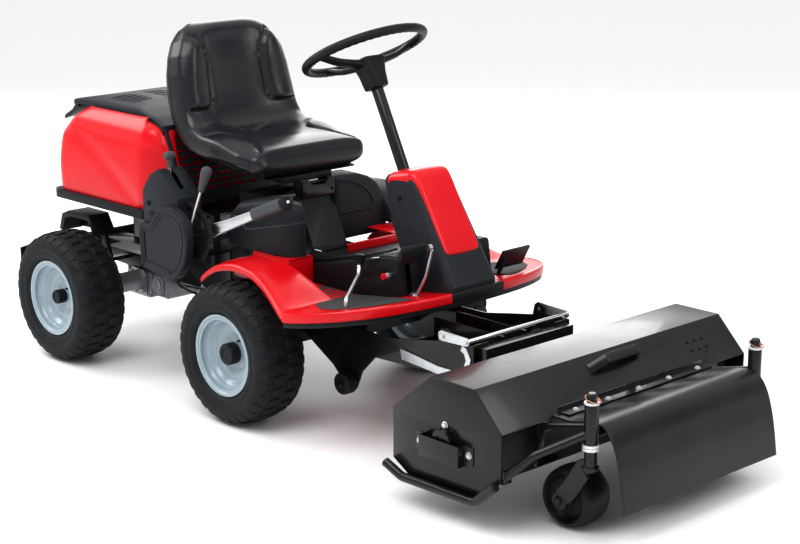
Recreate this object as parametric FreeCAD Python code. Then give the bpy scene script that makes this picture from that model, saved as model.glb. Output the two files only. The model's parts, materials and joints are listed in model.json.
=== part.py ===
"""Ride-on lawn sweeper: an articulated rear-engine carrier with a rotary brush head in front.

Millimetres. +X is the travel direction, +Y the driver's left, +Z up, and Z = 0 is the ground.
Stations along X are measured from the rear axle; save() moves every node to the row frame, whose
origin is on the ground in the middle of the machine's length.
"""
import FreeCAD
import Part
import math
import os

V = FreeCAD.Vector
os.makedirs("parts", exist_ok=True)

# ---------------------------------------------------------------- driving dimensions
WHEELBASE = 852.0
TYRE_R = 203.5
TYRE_W = 166.0
WHEEL_Y = 366.0            # wheel centre plane, from the middle of the machine
RIM_SEAT_R = 101.5
RIM_FLANGE_R = 118.0
RIM_W = 142.0
AXLE_R = 12.7
RUN_CLEAR = 0.08           # radial clearance of a running fit
SEAT_GAP = 0.3             # gap between pieces that sit against a curved face
SHEET = 4.0                # pressed sheet and moulded wall thickness

PIVOT_X = 300.0            # articulation axis
PIVOT_R = 20.0
PIVOT_Z0, PIVOT_Z1 = 240.0, 290.0
HITCH_R = 9.5
GUARD_Y = 205.0
RAIL_Y = 125.0             # inner face of the front frame rails
RAIL_T = 6.0
RAIL_Z0, RAIL_Z1 = 235.0, 330.0
RAIL_X1 = 1120.0
DECK_T = 6.0

FLOOR_REAR_X = 950.0
FLOOR_RAMP_X = 1130.0
FLOOR_FRONT_X = 1429.0
FLOOR_Z = 386.0
FLOOR_FRONT_Z = 430.0
FLOOR_LIP = 26.0
FLOOR_HALF_W = 456.0
FENDER_INNER_Y = 262.0     # inner wall, clear of the front tyre's inner face
FENDER_OUTER_Y = 381.0     # fender lip above the axle
LEDGE_Z = 465.0

TUNNEL_HALF_W = 178.0
TUNNEL_REAR_X = 850.0
TUNNEL_TOP_Z = 440.0

CONSOLE_HALF_W = 92.0
CONSOLE_TOP_HALF_W = 72.0
CONSOLE_TOP_Z = 712.0
PANEL_T = 20.0

STEER_TILT = 26.6          # column lean towards the driver, degrees from vertical
STEER_FOOT = (1134.0, 0.0, 711.0)
STEER_WHEEL_R = 171.0
STEER_RIM_R = 13.0
COLUMN_R = 17.0
SHAFT_R = 12.0
STEER_LENGTH = 355.0       # foot of the column to the rim plane

SEAT_HALF_W = 213.0
HOOD_HALF_W = 300.0
HOOD_Z0 = 515.0
HOOD_TOP_HALF_W = 246.0

SWEEP_HALF_W = 478.0       # outer faces of the sweeper's side plates
PLATE_T = 4.0
SHELL_T = 3.0
ROTOR_X, ROTOR_Z = 1775.0, 203.0
BRUSH_R = 138.0
CORE_R = 40.0
ROTOR_SHAFT_R = 15.0
SKID_R = 12.0
STEM_X, STEM_Y = 2103.0, 322.0
STEM_R = 12.5
SOCKET_R = 17.5
SOCKET_Z0, SOCKET_Z1 = 240.0, 338.0
CASTER_TRAIL = 84.0
CASTER_INSET = 50.0
CASTER_R = 77.0
CASTER_W = 100.0
FLAP_HALF_W = 304.0
FLAP_T = 5.0
FLAP_START_Z = 273.0
FLAP_FOOT_X, FLAP_FOOT_Z = 2197.0, 78.0

CARRIER_Y = 182.0          # inner face of the carrier's side plates
CARRIER_T = 6.0
CARRIER_PIVOT = (900.0, 262.0)
CARRIER_PIN_R = 12.5
ROLLER_X, ROLLER_Z = 1115.0, 135.0
ROLLER_R = 32.0
ROLLER_W = 38.0
LATCH_X, LATCH_Z = 1481.0, 347.0
LATCH_REACH = 88.0

LEVER_PIVOT = (590.0, 480.0)
LEVER_Y = -314.0
QUADRANT_Y = -334.0
THROTTLE_PIVOT = (478.0, 560.0)
THROTTLE_Y = -318.0
HEIGHT_LEVER_Y = -348.0
CONSOLE_Y0, CONSOLE_Y1 = -356.0, -270.0     # outer and inner face of the lever console

TAIL_X = -292.0            # rearmost point, the tow bumper
NOSE_X = FLAP_FOOT_X       # foremost point, the foot of the flap
ORIGIN_X = (TAIL_X + NOSE_X) / 2


# ---------------------------------------------------------------- shape helpers
def box(x0, x1, y0, y1, z0, z1):
    return Part.makeBox(x1 - x0, y1 - y0, z1 - z0, V(x0, y0, z0))


def rod(p, q, r):
    p, q = V(*p), V(*q)
    return Part.makeCylinder(r, (q - p).Length, p, q - p)


def cyl_y(x, z, r, y0, y1):
    return Part.makeCylinder(r, y1 - y0, V(x, y0, z), V(0, 1, 0))


def cyl_z(x, y, r, z0, z1):
    return Part.makeCylinder(r, z1 - z0, V(x, y, z0), V(0, 0, 1))


def prism_y(points, y0, y1):
    """A polygon of (x, z) points, from y0 to y1."""
    face = Part.Face(Part.makePolygon([V(x, y0, z) for x, z in points + points[:1]]))
    return face.extrude(V(0, y1 - y0, 0))


def prism_x(points, x0, x1):
    """A polygon of (y, z) points, from x0 to x1."""
    face = Part.Face(Part.makePolygon([V(x0, y, z) for y, z in points + points[:1]]))
    return face.extrude(V(x1 - x0, 0, 0))


def turned_y(profile, x, z):
    """A closed profile of (radius, y) points turned about the Y line through (x, z)."""
    pts = [V(x + r, y, z) for r, y in profile + profile[:1]]
    return Part.Face(Part.makePolygon(pts)).revolve(V(x, 0, z), V(0, 1, 0), 360)


def fuse(*shapes):
    whole = shapes[0]
    for shape in shapes[1:]:
        whole = whole.fuse(shape)
    return whole.removeSplitter()


def mirror_y(shape):
    return shape.mirror(V(0, 0, 0), V(0, 1, 0))


def both(shape):
    """The shape and its mirror image in the machine's middle plane, as separate solids."""
    return Part.makeCompound([shape, mirror_y(shape)])


def strip(points, t):
    """The closed outline of a sheet of thickness t that lies below an (x, z) polyline."""
    def normal(a, b):
        dx, dz = b[0] - a[0], b[1] - a[1]
        n = math.hypot(dx, dz)
        return (dz / n, -dx / n)
    normals = [normal(a, b) for a, b in zip(points, points[1:])]
    inner = []
    for i, (x, z) in enumerate(points):
        n0 = normals[max(i - 1, 0)]
        n1 = normals[min(i, len(normals) - 1)]
        k = t / (1 + n0[0] * n1[0] + n0[1] * n1[1])
        inner.append((x + k * (n0[0] + n1[0]), z + k * (n0[1] + n1[1])))
    return points + inner[::-1]


def bent_tube(points, r, bend):
    """A round bar along straight runs that are joined by tangent arcs of radius bend."""
    pts = [V(*p) for p in points]
    edges, start = [], pts[0]
    for a, b, c in zip(pts, pts[1:], pts[2:]):
        u, w = (a - b).normalize(), (c - b).normalize()
        half = u.getAngle(w) / 2
        reach = bend / math.tan(half)
        p, q = b + u * reach, b + w * reach
        middle = b + (u + w).normalize() * (bend / math.sin(half) - bend)
        edges += [Part.LineSegment(start, p).toShape(), Part.Arc(p, middle, q).toShape()]
        start = q
    edges.append(Part.LineSegment(start, pts[-1]).toShape())
    ring = Part.Wire([Part.makeCircle(r, pts[0], pts[1] - pts[0])])
    return Part.Wire(edges).makePipeShell([ring], True, False)


def filleted(shape, r, chosen):
    edges = [e for e in shape.Edges if chosen(e)]
    return shape.makeFillet(r, edges) if edges else shape


def along(edge, axis):
    """True if a straight edge runs along the axis (0, 1 or 2)."""
    if not isinstance(edge.Curve, Part.Line):
        return False
    return abs(edge.Curve.Direction[axis]) > 0.99


def floor_z(x):
    """Height of the footplate's top at a station."""
    slope = (FLOOR_FRONT_Z - FLOOR_Z) / (FLOOR_FRONT_X - FLOOR_RAMP_X)
    return FLOOR_Z + max(0.0, x - FLOOR_RAMP_X) * slope


def save(name, shape):
    moved = shape.copy()
    moved.translate(V(-ORIGIN_X, 0, 0))
    moved.exportStep(f"parts/{name}.step")


# ---------------------------------------------------------------- wheels
def tyre(x, side):
    """A low-pressure turf tyre: hollow carcass, rounded shoulders, beads that sit on the rim."""
    h, bead = TYRE_W / 2, RIM_W / 2 - SHEET - SEAT_GAP
    outer = [(RIM_SEAT_R + SEAT_GAP, -bead), (RIM_SEAT_R + 12, -bead), (RIM_FLANGE_R + 3, -bead),
             (140, -h + 2), (165, -h), (183, -h + 6), (195, -h + 18), (201, -h + 40), (TYRE_R, 0)]
    outer = outer + [(r, -y) for r, y in outer[-2::-1]]
    inner = [(RIM_SEAT_R + SEAT_GAP, bead - 14), (RIM_FLANGE_R, bead - 10), (150, h - 9),
             (180, h - 18), (191, h - 44), (192, 0)]
    inner = inner + [(r, -y) for r, y in inner[-2::-1]]
    shape = turned_y(outer + inner, x, TYRE_R)
    shape.translate(V(0, side * WHEEL_Y, 0))
    return shape


def rim(x, side, cap_r):
    """A pressed disc wheel: flanges, deep dished centre, hub sleeve and a plastic hub cap."""
    h, t, disc = RIM_W / 2, SHEET, -18.0
    well = [(RIM_FLANGE_R, -h), (RIM_FLANGE_R, -h + t), (RIM_SEAT_R, -h + t), (RIM_SEAT_R, -h + 26),
            (RIM_SEAT_R - 18, -h + 38), (RIM_SEAT_R - 18, h - 38), (RIM_SEAT_R, h - 26),
            (RIM_SEAT_R, h - t), (RIM_FLANGE_R, h - t), (RIM_FLANGE_R, h), (RIM_SEAT_R - t, h),
            (RIM_SEAT_R - t, h - 26), (RIM_SEAT_R - 18 - t, h - 38 - t), (RIM_SEAT_R - 18 - t, disc + 4),
            (RIM_SEAT_R - 18 - t, disc), (RIM_SEAT_R - 18 - t, -h + 38 + t), (RIM_SEAT_R - t, -h + 26),
            (RIM_SEAT_R - t, -h)]
    plate = [(AXLE_R + 8, disc), (RIM_SEAT_R - 18 - t, disc), (RIM_SEAT_R - 18 - t, disc + t),
             (AXLE_R + 8, disc + t)]
    bore = AXLE_R + RUN_CLEAR
    sleeve = [(bore, disc - 22), (AXLE_R + 8, disc - 22), (AXLE_R + 8, disc + 60), (bore, disc + 60)]
    shape = fuse(turned_y(well, 0, 0), turned_y(plate, 0, 0), turned_y(sleeve, 0, 0))
    cap_y0, cap_y1 = -h + 14, disc - 22
    cap = cyl_y(0, 0, cap_r, cap_y0, disc).cut(cyl_y(0, 0, AXLE_R + 8 + SEAT_GAP, cap_y1 - SEAT_GAP, disc))
    cap = filleted(cap, 3, lambda e: e.BoundBox.YMax < cap_y0 + 0.1 and e.Curve.TypeId == "Part::GeomCircle")
    shape = Part.makeCompound([shape, cap])
    if side > 0:
        shape = mirror_y(shape)
    shape.translate(V(x, side * WHEEL_Y, TYRE_R))
    return shape


def make_wheels():
    for name, x, side, cap in (("front_right", WHEELBASE, -1, 31), ("front_left", WHEELBASE, 1, 31),
                               ("rear_right", 0, -1, 22), ("rear_left", 0, 1, 22)):
        save(f"{name}_tyre", tyre(x, side))
        save(f"{name}_rim", rim(x, side, cap))


STUB_END = WHEEL_Y + 18.0 + 20.0      # an axle stub ends inside the hub cap


def make_front_axle():
    beam = box(WHEELBASE - 15, WHEELBASE + 15, -268, 268, TYRE_R - 15, TYRE_R + 15)
    stubs = cyl_y(WHEELBASE, TYRE_R, AXLE_R, -STUB_END, STUB_END)
    saddle = box(WHEELBASE - 22, WHEELBASE + 22, RAIL_Y - 12, RAIL_Y + RAIL_T + 12, TYRE_R + 15, RAIL_Z0)
    save("front_axle", fuse(beam, stubs, saddle, mirror_y(saddle)))


# ---------------------------------------------------------------- chassis
def make_main_frame():
    """Two rails, a rear deck over the articulation pin, posts for the hood tray, floor supports."""
    rail = prism_y([(240, RAIL_Z1), (240, RAIL_Z1 - 30), (300, RAIL_Z1 - 30), (420, RAIL_Z0),
                    (RAIL_X1 - 60, RAIL_Z0),
                    (RAIL_X1, RAIL_Z0 + 40), (RAIL_X1, RAIL_Z1)], RAIL_Y, RAIL_Y + RAIL_T)
    deck = box(10, 460, -RAIL_Y - RAIL_T, RAIL_Y + RAIL_T, RAIL_Z1, RAIL_Z1 + DECK_T)
    pin = cyl_z(PIVOT_X, 0, PIVOT_R, PIVOT_Z0 - 20, RAIL_Z1)
    boss = cyl_z(PIVOT_X, 0, 45, PIVOT_Z1 + 2, RAIL_Z1)
    cross = [box(x, x + 8, -RAIL_Y, RAIL_Y, RAIL_Z0 + 5, RAIL_Z1) for x in (440, 700, 1060)]
    post_y = RAIL_Y + RAIL_T
    posts = [box(x, x + 22, post_y - 22, post_y, RAIL_Z1 + DECK_T, HOOD_Z0 - 22) for x in (20, 420)]
    stands = [box(x, x + 8, 60, TUNNEL_HALF_W + 60, RAIL_Z1, FLOOR_Z - SHEET) for x in (970, 1090)]
    pivot_pin = cyl_y(CARRIER_PIVOT[0], CARRIER_PIVOT[1], CARRIER_PIN_R, -CARRIER_Y - 16, CARRIER_Y + 16)
    side = [rail] + posts + stands
    save("main_frame", fuse(deck, pin, boss, pivot_pin, *cross, *side, *[mirror_y(s) for s in side]))


def make_rear_carriage():
    """The steered rear half: a box frame round the pivot, the gearbox, wheel guards and tow bumper."""
    z0, z1 = PIVOT_Z0, PIVOT_Z1
    side = prism_y([(-170, z1), (-170, 250), (60, z0), (PIVOT_X + 30, z0), (PIVOT_X + 30, z1)], 104, 110)
    hub = cyl_z(PIVOT_X, 0, 36, z0, z1).cut(cyl_z(PIVOT_X, 0, PIVOT_R + RUN_CLEAR, z0, z1))
    web = box(PIVOT_X - 5, PIVOT_X + 5, 34, 104, z0, z1)
    top = box(-170, 60, -104, 104, z1 - DECK_T, z1)
    bumper = box(TAIL_X, TAIL_X + 6, -300, 300, 250, 310)
    ears = prism_x([(300, 250), (360, 240), (360, 302), (300, 310)], TAIL_X, TAIL_X + 6)
    arm = box(TAIL_X + 6, -170, 104, 110, 258, 286)
    hitch = box(TAIL_X + 6, -170, -45, 45, z1 - DECK_T, z1)
    hitch = hitch.cut(cyl_z(TAIL_X + 34, 0, HITCH_R, z1 - 20, z1 + 20))
    bend = [(110, 272), (110, 284), (178, 284), (196, 364), (196, 384), (GUARD_Y - SEAT_GAP, 384)]
    bend = bend + [(GUARD_Y - SEAT_GAP, 358), (188, 272)]
    guard_arm = prism_x(bend, -60, -30)
    half = [side, web, ears, arm, guard_arm]
    save("rear_frame", fuse(hub, top, bumper, hitch, *half, *[mirror_y(s) for s in half]))
    case = filleted(box(-70, 66, -98, 98, 150, z1 - DECK_T - SEAT_GAP), 18, lambda e: along(e, 1))
    pump = filleted(box(60, 150, -102, 40, 176, 236), 12, lambda e: along(e, 0))
    fins = [box(x, x + 5, -98, 40, 164, 178) for x in range(72, 146, 14)]
    trumpet = cyl_y(0, TYRE_R, 32, -268, 268)
    shaft = cyl_y(0, TYRE_R, AXLE_R, -STUB_END, STUB_END)
    save("transaxle", fuse(case, pump, trumpet, shaft, *fins))
    outline = [(-178, 372), (-160, 424), (-120, 440), (-11, 440), (28, 380), (14, 376), (-18, 422)]
    outline = outline + [(-114, 422), (-146, 410), (-162, 368)]
    roof = prism_y(outline, GUARD_Y, 280)
    inner = prism_y([(-160, 372), (-146, 412), (-114, 424), (-18, 424), (12, 380)], GUARD_Y, GUARD_Y + SHEET)
    save("rear_guards", both(fuse(roof, inner)))


def make_engine():
    """A vertical-shaft single: crankcase, finned barrel, blower housing and carburettor."""
    z0 = RAIL_Z1 + DECK_T
    case = filleted(box(50, 300, -105, 105, z0, z0 + 110), 20, lambda e: along(e, 2))
    blower = cyl_z(175, 0, 118, z0 + 110, z0 + 250)
    dome = cyl_z(175, 0, 84, z0 + 250, z0 + 282)
    barrel = cyl_y(235, z0 + 60, 44, 105, 160)
    fins = [box(180, 290, y, y + 4, z0 + 8, z0 + 112) for y in (112, 122, 132, 142, 152)]
    carb = box(60, 110, -155, -105, z0 + 30, z0 + 90)
    save("engine", fuse(case, blower, dome, barrel, carb, *fins))


def floor_plan(inset, z0, z1):
    """The footplate's plan outline as a solid, pulled in by inset along its curved front."""
    half = [(1140, FLOOR_HALF_W), (1215, 443), (1305, 392), (1370, 312), (1408, 205), (1424, 100)]
    curve = half + [(FLOOR_FRONT_X, 0)] + [(x, -y) for x, y in half[::-1]]
    curve = [(x - inset * (x > 1200), y * (1 - inset / FLOOR_HALF_W)) for x, y in curve]
    spline = Part.BSplineCurve()
    spline.interpolate([V(x, y, z0) for x, y in curve])
    y = FENDER_INNER_Y
    rear = [curve[-1], (FENDER_END_X, -y), (FLOOR_REAR_X - SHEET, -y), (FLOOR_REAR_X - SHEET, y),
            (FENDER_END_X, y), curve[0]]
    back = Part.makePolygon([V(a, b, z0) for a, b in rear])
    return Part.Face(Part.Wire([spline.toShape()] + back.Edges)).extrude(V(0, 0, z1 - z0))


FENDER_END_X = 1140.0
FENDER_ARCH = [(693, 401), (731, 429), (790, 453), (853, 461), (926, 457), (997, 437), (1060, 414),
               (1108, 388), (FENDER_END_X, 361)]


def fender_side():
    """The left fender: an arch whose lip sweeps outward to the footplate's corner, and its inner wall."""
    reach = FLOOR_HALF_W + 10
    plan = [(600, 0), (600, FENDER_OUTER_Y), (870, FENDER_OUTER_Y), (1000, 403), (1090, 436),
            (FENDER_END_X, FLOOR_HALF_W),
            (1300, FLOOR_HALF_W), (1300, 0)]

    def reach_of(points, inset):
        moved = [V(x, y - inset * (y > 0), 300) for x, y in points + points[:1]]
        return Part.Face(Part.makePolygon(moved)).extrude(V(0, 0, 300))
    zone, core = reach_of(plan, 0), reach_of(plan, 6)
    arch = prism_y(strip(FENDER_ARCH, SHEET), FENDER_INNER_Y, reach).common(zone)
    lip = prism_y(strip(FENDER_ARCH, 20), FENDER_INNER_Y, reach).common(zone.cut(core))
    roof = FENDER_ARCH[2:] + [(FENDER_END_X, FLOOR_Z - 30), (790, FLOOR_Z - 30)]
    wall = prism_y(roof, FENDER_INNER_Y, FENDER_INNER_Y + SHEET)
    return fuse(arch, lip, wall)


def pedal_slot(x, y):
    """The slot in the floor that a pedal arm swings in."""
    return box(x - 22, x + 36, y - 9, y + 9, FLOOR_Z - 40, FLOOR_FRONT_Z + 40)


def pedal_ears(x, y):
    """Two ears under the floor and the pin that a pedal arm hangs on."""
    z = floor_z(x) - PEDAL_DROP
    ear = box(x - 8, x + 8, y + 9, y + 13, z - 8, floor_z(x - 8) - SHEET / 2)
    return fuse(ear, ear.translated(V(0, -22, 0)), cyl_y(x, z, PEDAL_PIN_R, y - 13, y + 13))


PEDAL_DROP = 14.0
PEDAL_PIN_R = 4.0
FORWARD_PEDAL = (1313.0, -140.0)
REVERSE_PEDAL = (1254.0, -330.0)
BRAKE_PEDAL = (1318.0, 182.0)


def make_footplate():
    """The footplate: ramped floor, rolled edge, two fenders, risers, ledges and pedal pivots."""
    line = [(FLOOR_REAR_X - 10, FLOOR_Z), (FLOOR_RAMP_X, FLOOR_Z),
            (FLOOR_FRONT_X + 20, floor_z(FLOOR_FRONT_X + 20))]
    w = FLOOR_HALF_W + 10
    outline, core = floor_plan(0, 300, 600), floor_plan(6, 300, 600)
    pan = prism_y(strip(line, SHEET), -w, w).common(outline)
    edge = prism_y(strip(line, FLOOR_LIP), -w, w).common(outline.cut(core))
    edge = edge.common(box(FENDER_END_X, FLOOR_FRONT_X + 20, -w, w, 300, 600))
    inner = TUNNEL_HALF_W + SEAT_GAP
    riser = box(FLOOR_REAR_X - SHEET, FLOOR_REAR_X, inner, FENDER_INNER_Y + SHEET, FLOOR_Z - SHEET, LEDGE_Z)
    ledge = box(790, FLOOR_REAR_X, inner, FENDER_INNER_Y + SHEET, LEDGE_Z - SHEET, LEDGE_Z)
    post = box(790, FLOOR_REAR_X, FENDER_INNER_Y, FENDER_INNER_Y + SHEET, FLOOR_Z - 30, LEDGE_Z)
    side = fuse(fender_side(), riser, ledge, post)
    plate = fuse(pan, edge, side, mirror_y(side))
    for foot in (FORWARD_PEDAL, REVERSE_PEDAL, BRAKE_PEDAL):
        plate = plate.cut(pedal_slot(*foot))
    ears = [pedal_ears(*foot) for foot in (FORWARD_PEDAL, REVERSE_PEDAL, BRAKE_PEDAL)]
    save("footplate", fuse(plate, *ears))


def tunnel_outline(inset=0.0):
    """The tunnel's side profile; the floor line is its open bottom."""
    z = SEAT_GAP
    top = [(TUNNEL_REAR_X + inset, FLOOR_Z + z), (TUNNEL_REAR_X + inset, TUNNEL_TOP_Z - inset)]
    top = top + [(975, 453 - inset), (1250, 519 - inset), (1290 - inset, 519 - inset)]
    return top + [(1304 - inset, floor_z(1304) + z), (FLOOR_RAMP_X, FLOOR_Z + z)]


def make_tunnel():
    """The moulded hump between the footwells, with feet on the frame rails behind them."""
    w = TUNNEL_HALF_W
    outer = prism_y(tunnel_outline(), -w, w)
    def upper_corner(e):
        return not along(e, 1) and e.BoundBox.ZMin > 430 and abs(e.BoundBox.YMin) > w - 5
    outer = filleted(outer, 12, upper_corner)
    inner = prism_y(tunnel_outline(3.0), -w + 3, w - 3)
    hole = cyl_y(LOCK_X, LOCK_Z, 9, -w - 5, -w + 8)
    slots = [box(x - 26, x + 26, y - 9, y + 9, FLOOR_Z, 600) for x, y in (FORWARD_PEDAL,)]
    legs = box(TUNNEL_REAR_X, FLOOR_REAR_X - 12, w - 3, w, RAIL_Z1, FLOOR_Z + 4)
    foot = box(TUNNEL_REAR_X, FLOOR_REAR_X - 12, RAIL_Y, w, RAIL_Z1, RAIL_Z1 + 3)
    save("center_tunnel", fuse(outer.cut(inner).cut(hole).cut(slots[0]), legs, mirror_y(legs), foot,
                               mirror_y(foot)))


LOCK_X, LOCK_Z = 1262.0, 466.0


POST_TOP_Z = 590.0


def make_seat_post():
    """A folded steel post that leans back, with a foot flange and the seat's hinge ears."""
    x0, z0 = 822.0, TUNNEL_TOP_Z
    x1, z1 = 758.0, POST_TOP_Z
    outer = prism_y([(x0, z0), (x1, z1), (x1 - 90, z1), (x0 - 90, z0)], -65, 65)
    inner = prism_y([(x0 - 4, z0), (x1 - 4, z1 - 4), (x1 - 86, z1 - 4), (x0 - 86, z0)], -61, 61)
    legs = [box(x0 - 90, TUNNEL_REAR_X - SEAT_GAP, y, y + 4, RAIL_Z1 + 14, z0) for y in (-65, 61)]
    foot = box(x0 - 120, TUNNEL_REAR_X - 2, -RAIL_Y - RAIL_T, RAIL_Y + RAIL_T, RAIL_Z1, RAIL_Z1 + 14)
    flange = box(x0 - 4, TUNNEL_REAR_X + 20, -65, 65, TUNNEL_TOP_Z + 2.5, TUNNEL_TOP_Z + 6)
    ear = prism_y([(x1 - 30, z1), (x1 + 4, z1), (x1 + 4, z1 + 30), (x1 - 8, z1 + 42), (x1 - 30, z1 + 42)],
                  56, 61)
    pin = cyl_y(SEAT_HINGE[0], SEAT_HINGE[1], 6, -64, 64)
    save("seat_post", fuse(outer.cut(inner), *legs, foot, flange, ear, mirror_y(ear), pin))


SEAT_HINGE = (744.0, 618.0)


def console_body(grow=0.0):
    """The steering console's outline, shrunk by grow for its hollow; its foot stays open."""
    g = grow
    outline = [(1131 + g, CONSOLE_TOP_Z - 16 - g), (1150 + g, CONSOLE_TOP_Z - g),
               (1251 - g, CONSOLE_TOP_Z - g),
               (1412 - g, 440), (1412 - g, 380), (1214 + g, 380), (1214 + g, 500), (1172 + g, 573)]
    solid = prism_y(outline, -CONSOLE_HALF_W + g, CONSOLE_HALF_W - g)
    lean = [(CONSOLE_HALF_W - g, 440), (CONSOLE_TOP_HALF_W - g, CONSOLE_TOP_Z + 5),
            (300, CONSOLE_TOP_Z + 5), (300, 440)]
    wedge = prism_x(lean, 1000, 1500)
    return solid.cut(wedge).cut(mirror_y(wedge))


def make_console():
    """The steering console: a moulded box on the floor, with the red cap and front panel over it."""
    outer, inner = console_body(), console_body(5.0)
    floor = [(1050, 300), (1050, FLOOR_Z), (FLOOR_RAMP_X, FLOOR_Z), (1460, floor_z(1460)), (1460, 300)]
    below = prism_y(floor, -200, 200)
    w = TUNNEL_HALF_W
    tunnel = prism_y(tunnel_outline(-0.5), -w - 1, w + 1)
    column = column_solid(COLUMN_R + SEAT_GAP)
    shell = outer.cut(inner).cut(below).cut(tunnel).cut(column)
    save("console_housing", max(shell.Solids, key=lambda s: s.Volume))
    face = [(1146, 718), (1218, 732), (1254, 718), (1371, 522), (1366, 518), (1251, CONSOLE_TOP_Z + 0.3),
            (1150, CONSOLE_TOP_Z + 0.3), (1133, CONSOLE_TOP_Z - 12)]
    cap = prism_y(face, -71, 71)
    taper = [(71, 722), (44, 522), (44, 400), (200, 400), (200, 722)]
    wedge = prism_x(taper, 1256, 1500)
    panel = cap.cut(wedge).cut(mirror_y(wedge)).cut(outer).cut(column)
    save("console_panel", max(panel.Solids, key=lambda s: s.Volume))


def steer_axis():
    a = math.radians(STEER_TILT)
    return V(-math.sin(a), 0, math.cos(a))


def column_solid(r, start=-120.0, end=STEER_LENGTH - 110):
    u = steer_axis()
    return Part.makeCylinder(r, end - start, V(*STEER_FOOT) + u * start, u)


def make_steering():
    """Column tube through the console's top; the shaft, hub, spokes and rim turn in it."""
    u = steer_axis()
    tube = column_solid(COLUMN_R).cut(column_solid(SHAFT_R + RUN_CLEAR, -130, STEER_LENGTH))
    save("steering_column", tube)
    centre = V(*STEER_FOOT) + u * STEER_LENGTH
    rim_ring = Part.makeTorus(STEER_WHEEL_R, STEER_RIM_R, centre, u)
    shaft = column_solid(SHAFT_R, -118, STEER_LENGTH - 40)
    hub = Part.makeCone(24, 36, 72, centre - u * 108, u)
    across = V(u.z, 0, -u.x)
    spokes = []
    for angle in (90, 180, 270):
        d = across * math.cos(math.radians(angle)) + V(0, 1, 0) * math.sin(math.radians(angle))
        a, b = centre - u * 44 + d * 18, centre + d * (STEER_WHEEL_R - 2)
        spokes.append(Part.makeCylinder(8, (b - a).Length, a, b - a))
    save("steering_wheel", fuse(rim_ring, shaft, hub, *spokes))


def make_side_covers():
    """Moulded covers each side of the seat: the right one low, the left one over the fuel tank."""
    z = LEDGE_Z + SEAT_GAP
    right = prism_y([(664, z), (648, 540), (668, 566), (700, 592), (900, 640), (930, 626), (945, 500),
                     (945, z)], -258, -152)
    hollow = prism_y([(668, z), (652, 539), (671, 562), (702, 587), (898, 635), (926, 623), (941, 500),
                      (941, z)], -254, -140)
    save("right_side_cover", right.cut(hollow).cut(box(640, 800, -170, -140, 400, 700)))
    left = prism_y([(600, z), (600, 600), (630, 634), (790, 634), (846, 606), (880, 540), (880, z)], 190, 345)
    corners = (lambda e: not along(e, 1) and e.BoundBox.YMin > 300 and e.BoundBox.ZMin > 500)
    left = filleted(left, 24, corners)
    hollow = prism_y([(604, z), (604, 598), (632, 630), (788, 630), (843, 603), (876, 539), (876, z)],
                     180, 341)
    save("left_tank_cover", left.cut(filleted(hollow, 21, corners)))


def make_lever_console():
    """The lever console beside the seat, its kidney-shaped outer cover and the notched quadrant."""
    tx, tz = THROTTLE_PIVOT
    outline = [(392, 500), (392, 596), (430, 646), (470, 668), (500, 650), (560, 592), (560, 440), (470, 440)]
    inner = [(396, 504), (396, 594), (433, 643), (468, 663), (497, 647), (556, 590), (556, 444), (472, 444)]
    shell = prism_y(outline, CONSOLE_Y0, CONSOLE_Y1).cut(prism_y(inner, CONSOLE_Y0 + 4, CONSOLE_Y1 - 4))
    slot = prism_y([(428, 700), (428, 600), (536, 600), (536, 700)], THROTTLE_Y - 8, THROTTLE_Y + 8)
    pin = cyl_y(tx, tz, 5, CONSOLE_Y0 + 2, THROTTLE_Y + 8)
    bracket = box(446, 540, CONSOLE_Y1 - 2, -RAIL_Y - RAIL_T, 440, 444)
    leg = box(446, 462, -RAIL_Y - RAIL_T - 20, -RAIL_Y, RAIL_Z1 + DECK_T, 444)
    save("side_console", fuse(shell.cut(slot), pin, bracket, leg))

    knots = [(396, 470), (405, 384), (424, 366), (548, 354), (606, 394), (630, 450), (632, 498),
             (611, 545), (560, 570),
             (505, 564), (472, 534), (442, 505), (408, 503)]
    spline = Part.BSplineCurve()
    spline.interpolate([V(x, CONSOLE_Y0 - 26, z) for x, z in knots], PeriodicFlag=True)
    cover = Part.Face(Part.Wire([spline.toShape()])).extrude(V(0, 26 - SEAT_GAP, 0))
    cover = filleted(cover, 7, lambda e: e.BoundBox.YMax < CONSOLE_Y0 - 25.9)
    save("side_console_cover", cover)


def make_quadrant():
    """The notched quadrant plate, the lever pin and the stay down to the frame."""
    px, pz = LEVER_PIVOT
    y = QUADRANT_Y
    arc = cyl_y(px, pz, 104, y, y + 4).cut(cyl_y(px, pz, 80, y, y + 4))
    arc = arc.common(prism_y([(px, pz), (px + 300, pz - 40), (px + 300, pz + 300), (px - 70, pz + 300)],
                             y, y + 4))
    for a in range(8, 84, 11):
        c, d = math.cos(math.radians(a)), math.sin(math.radians(a))
        arc = arc.cut(cyl_y(px + 104 * c, pz + 104 * d, 4, y, y + 4))
    web = prism_y([(px - 10, pz - 60), (px + 60, pz - 60), (px + 94, pz), (px + 82, pz + 10),
                   (px + 40, pz + 14),
                   (px + 40, pz - 20), (px - 10, pz - 20)], y, y + 4)
    disc = cyl_y(px, pz, 22, y, y + 4)
    neck = box(px - 20, px + 20, y, y + 4, pz - 60, pz)
    pin = cyl_y(px, pz, 10, y, LEVER_Y + 34)
    outer_pin = cyl_y(px, pz, 8, y - 20, y)
    stay = box(px - 24, px + 20, y, -200, pz - 60, pz - 54)
    leg = box(px - 24, px + 20, -206, -200, RAIL_Z1, pz - 60)
    foot = box(px - 24, px + 20, -206, -RAIL_Y - RAIL_T, RAIL_Z1 - 6, RAIL_Z1)
    save("lever_quadrant", fuse(arc, web, disc, neck, pin, outer_pin, stay, leg, foot))


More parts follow.
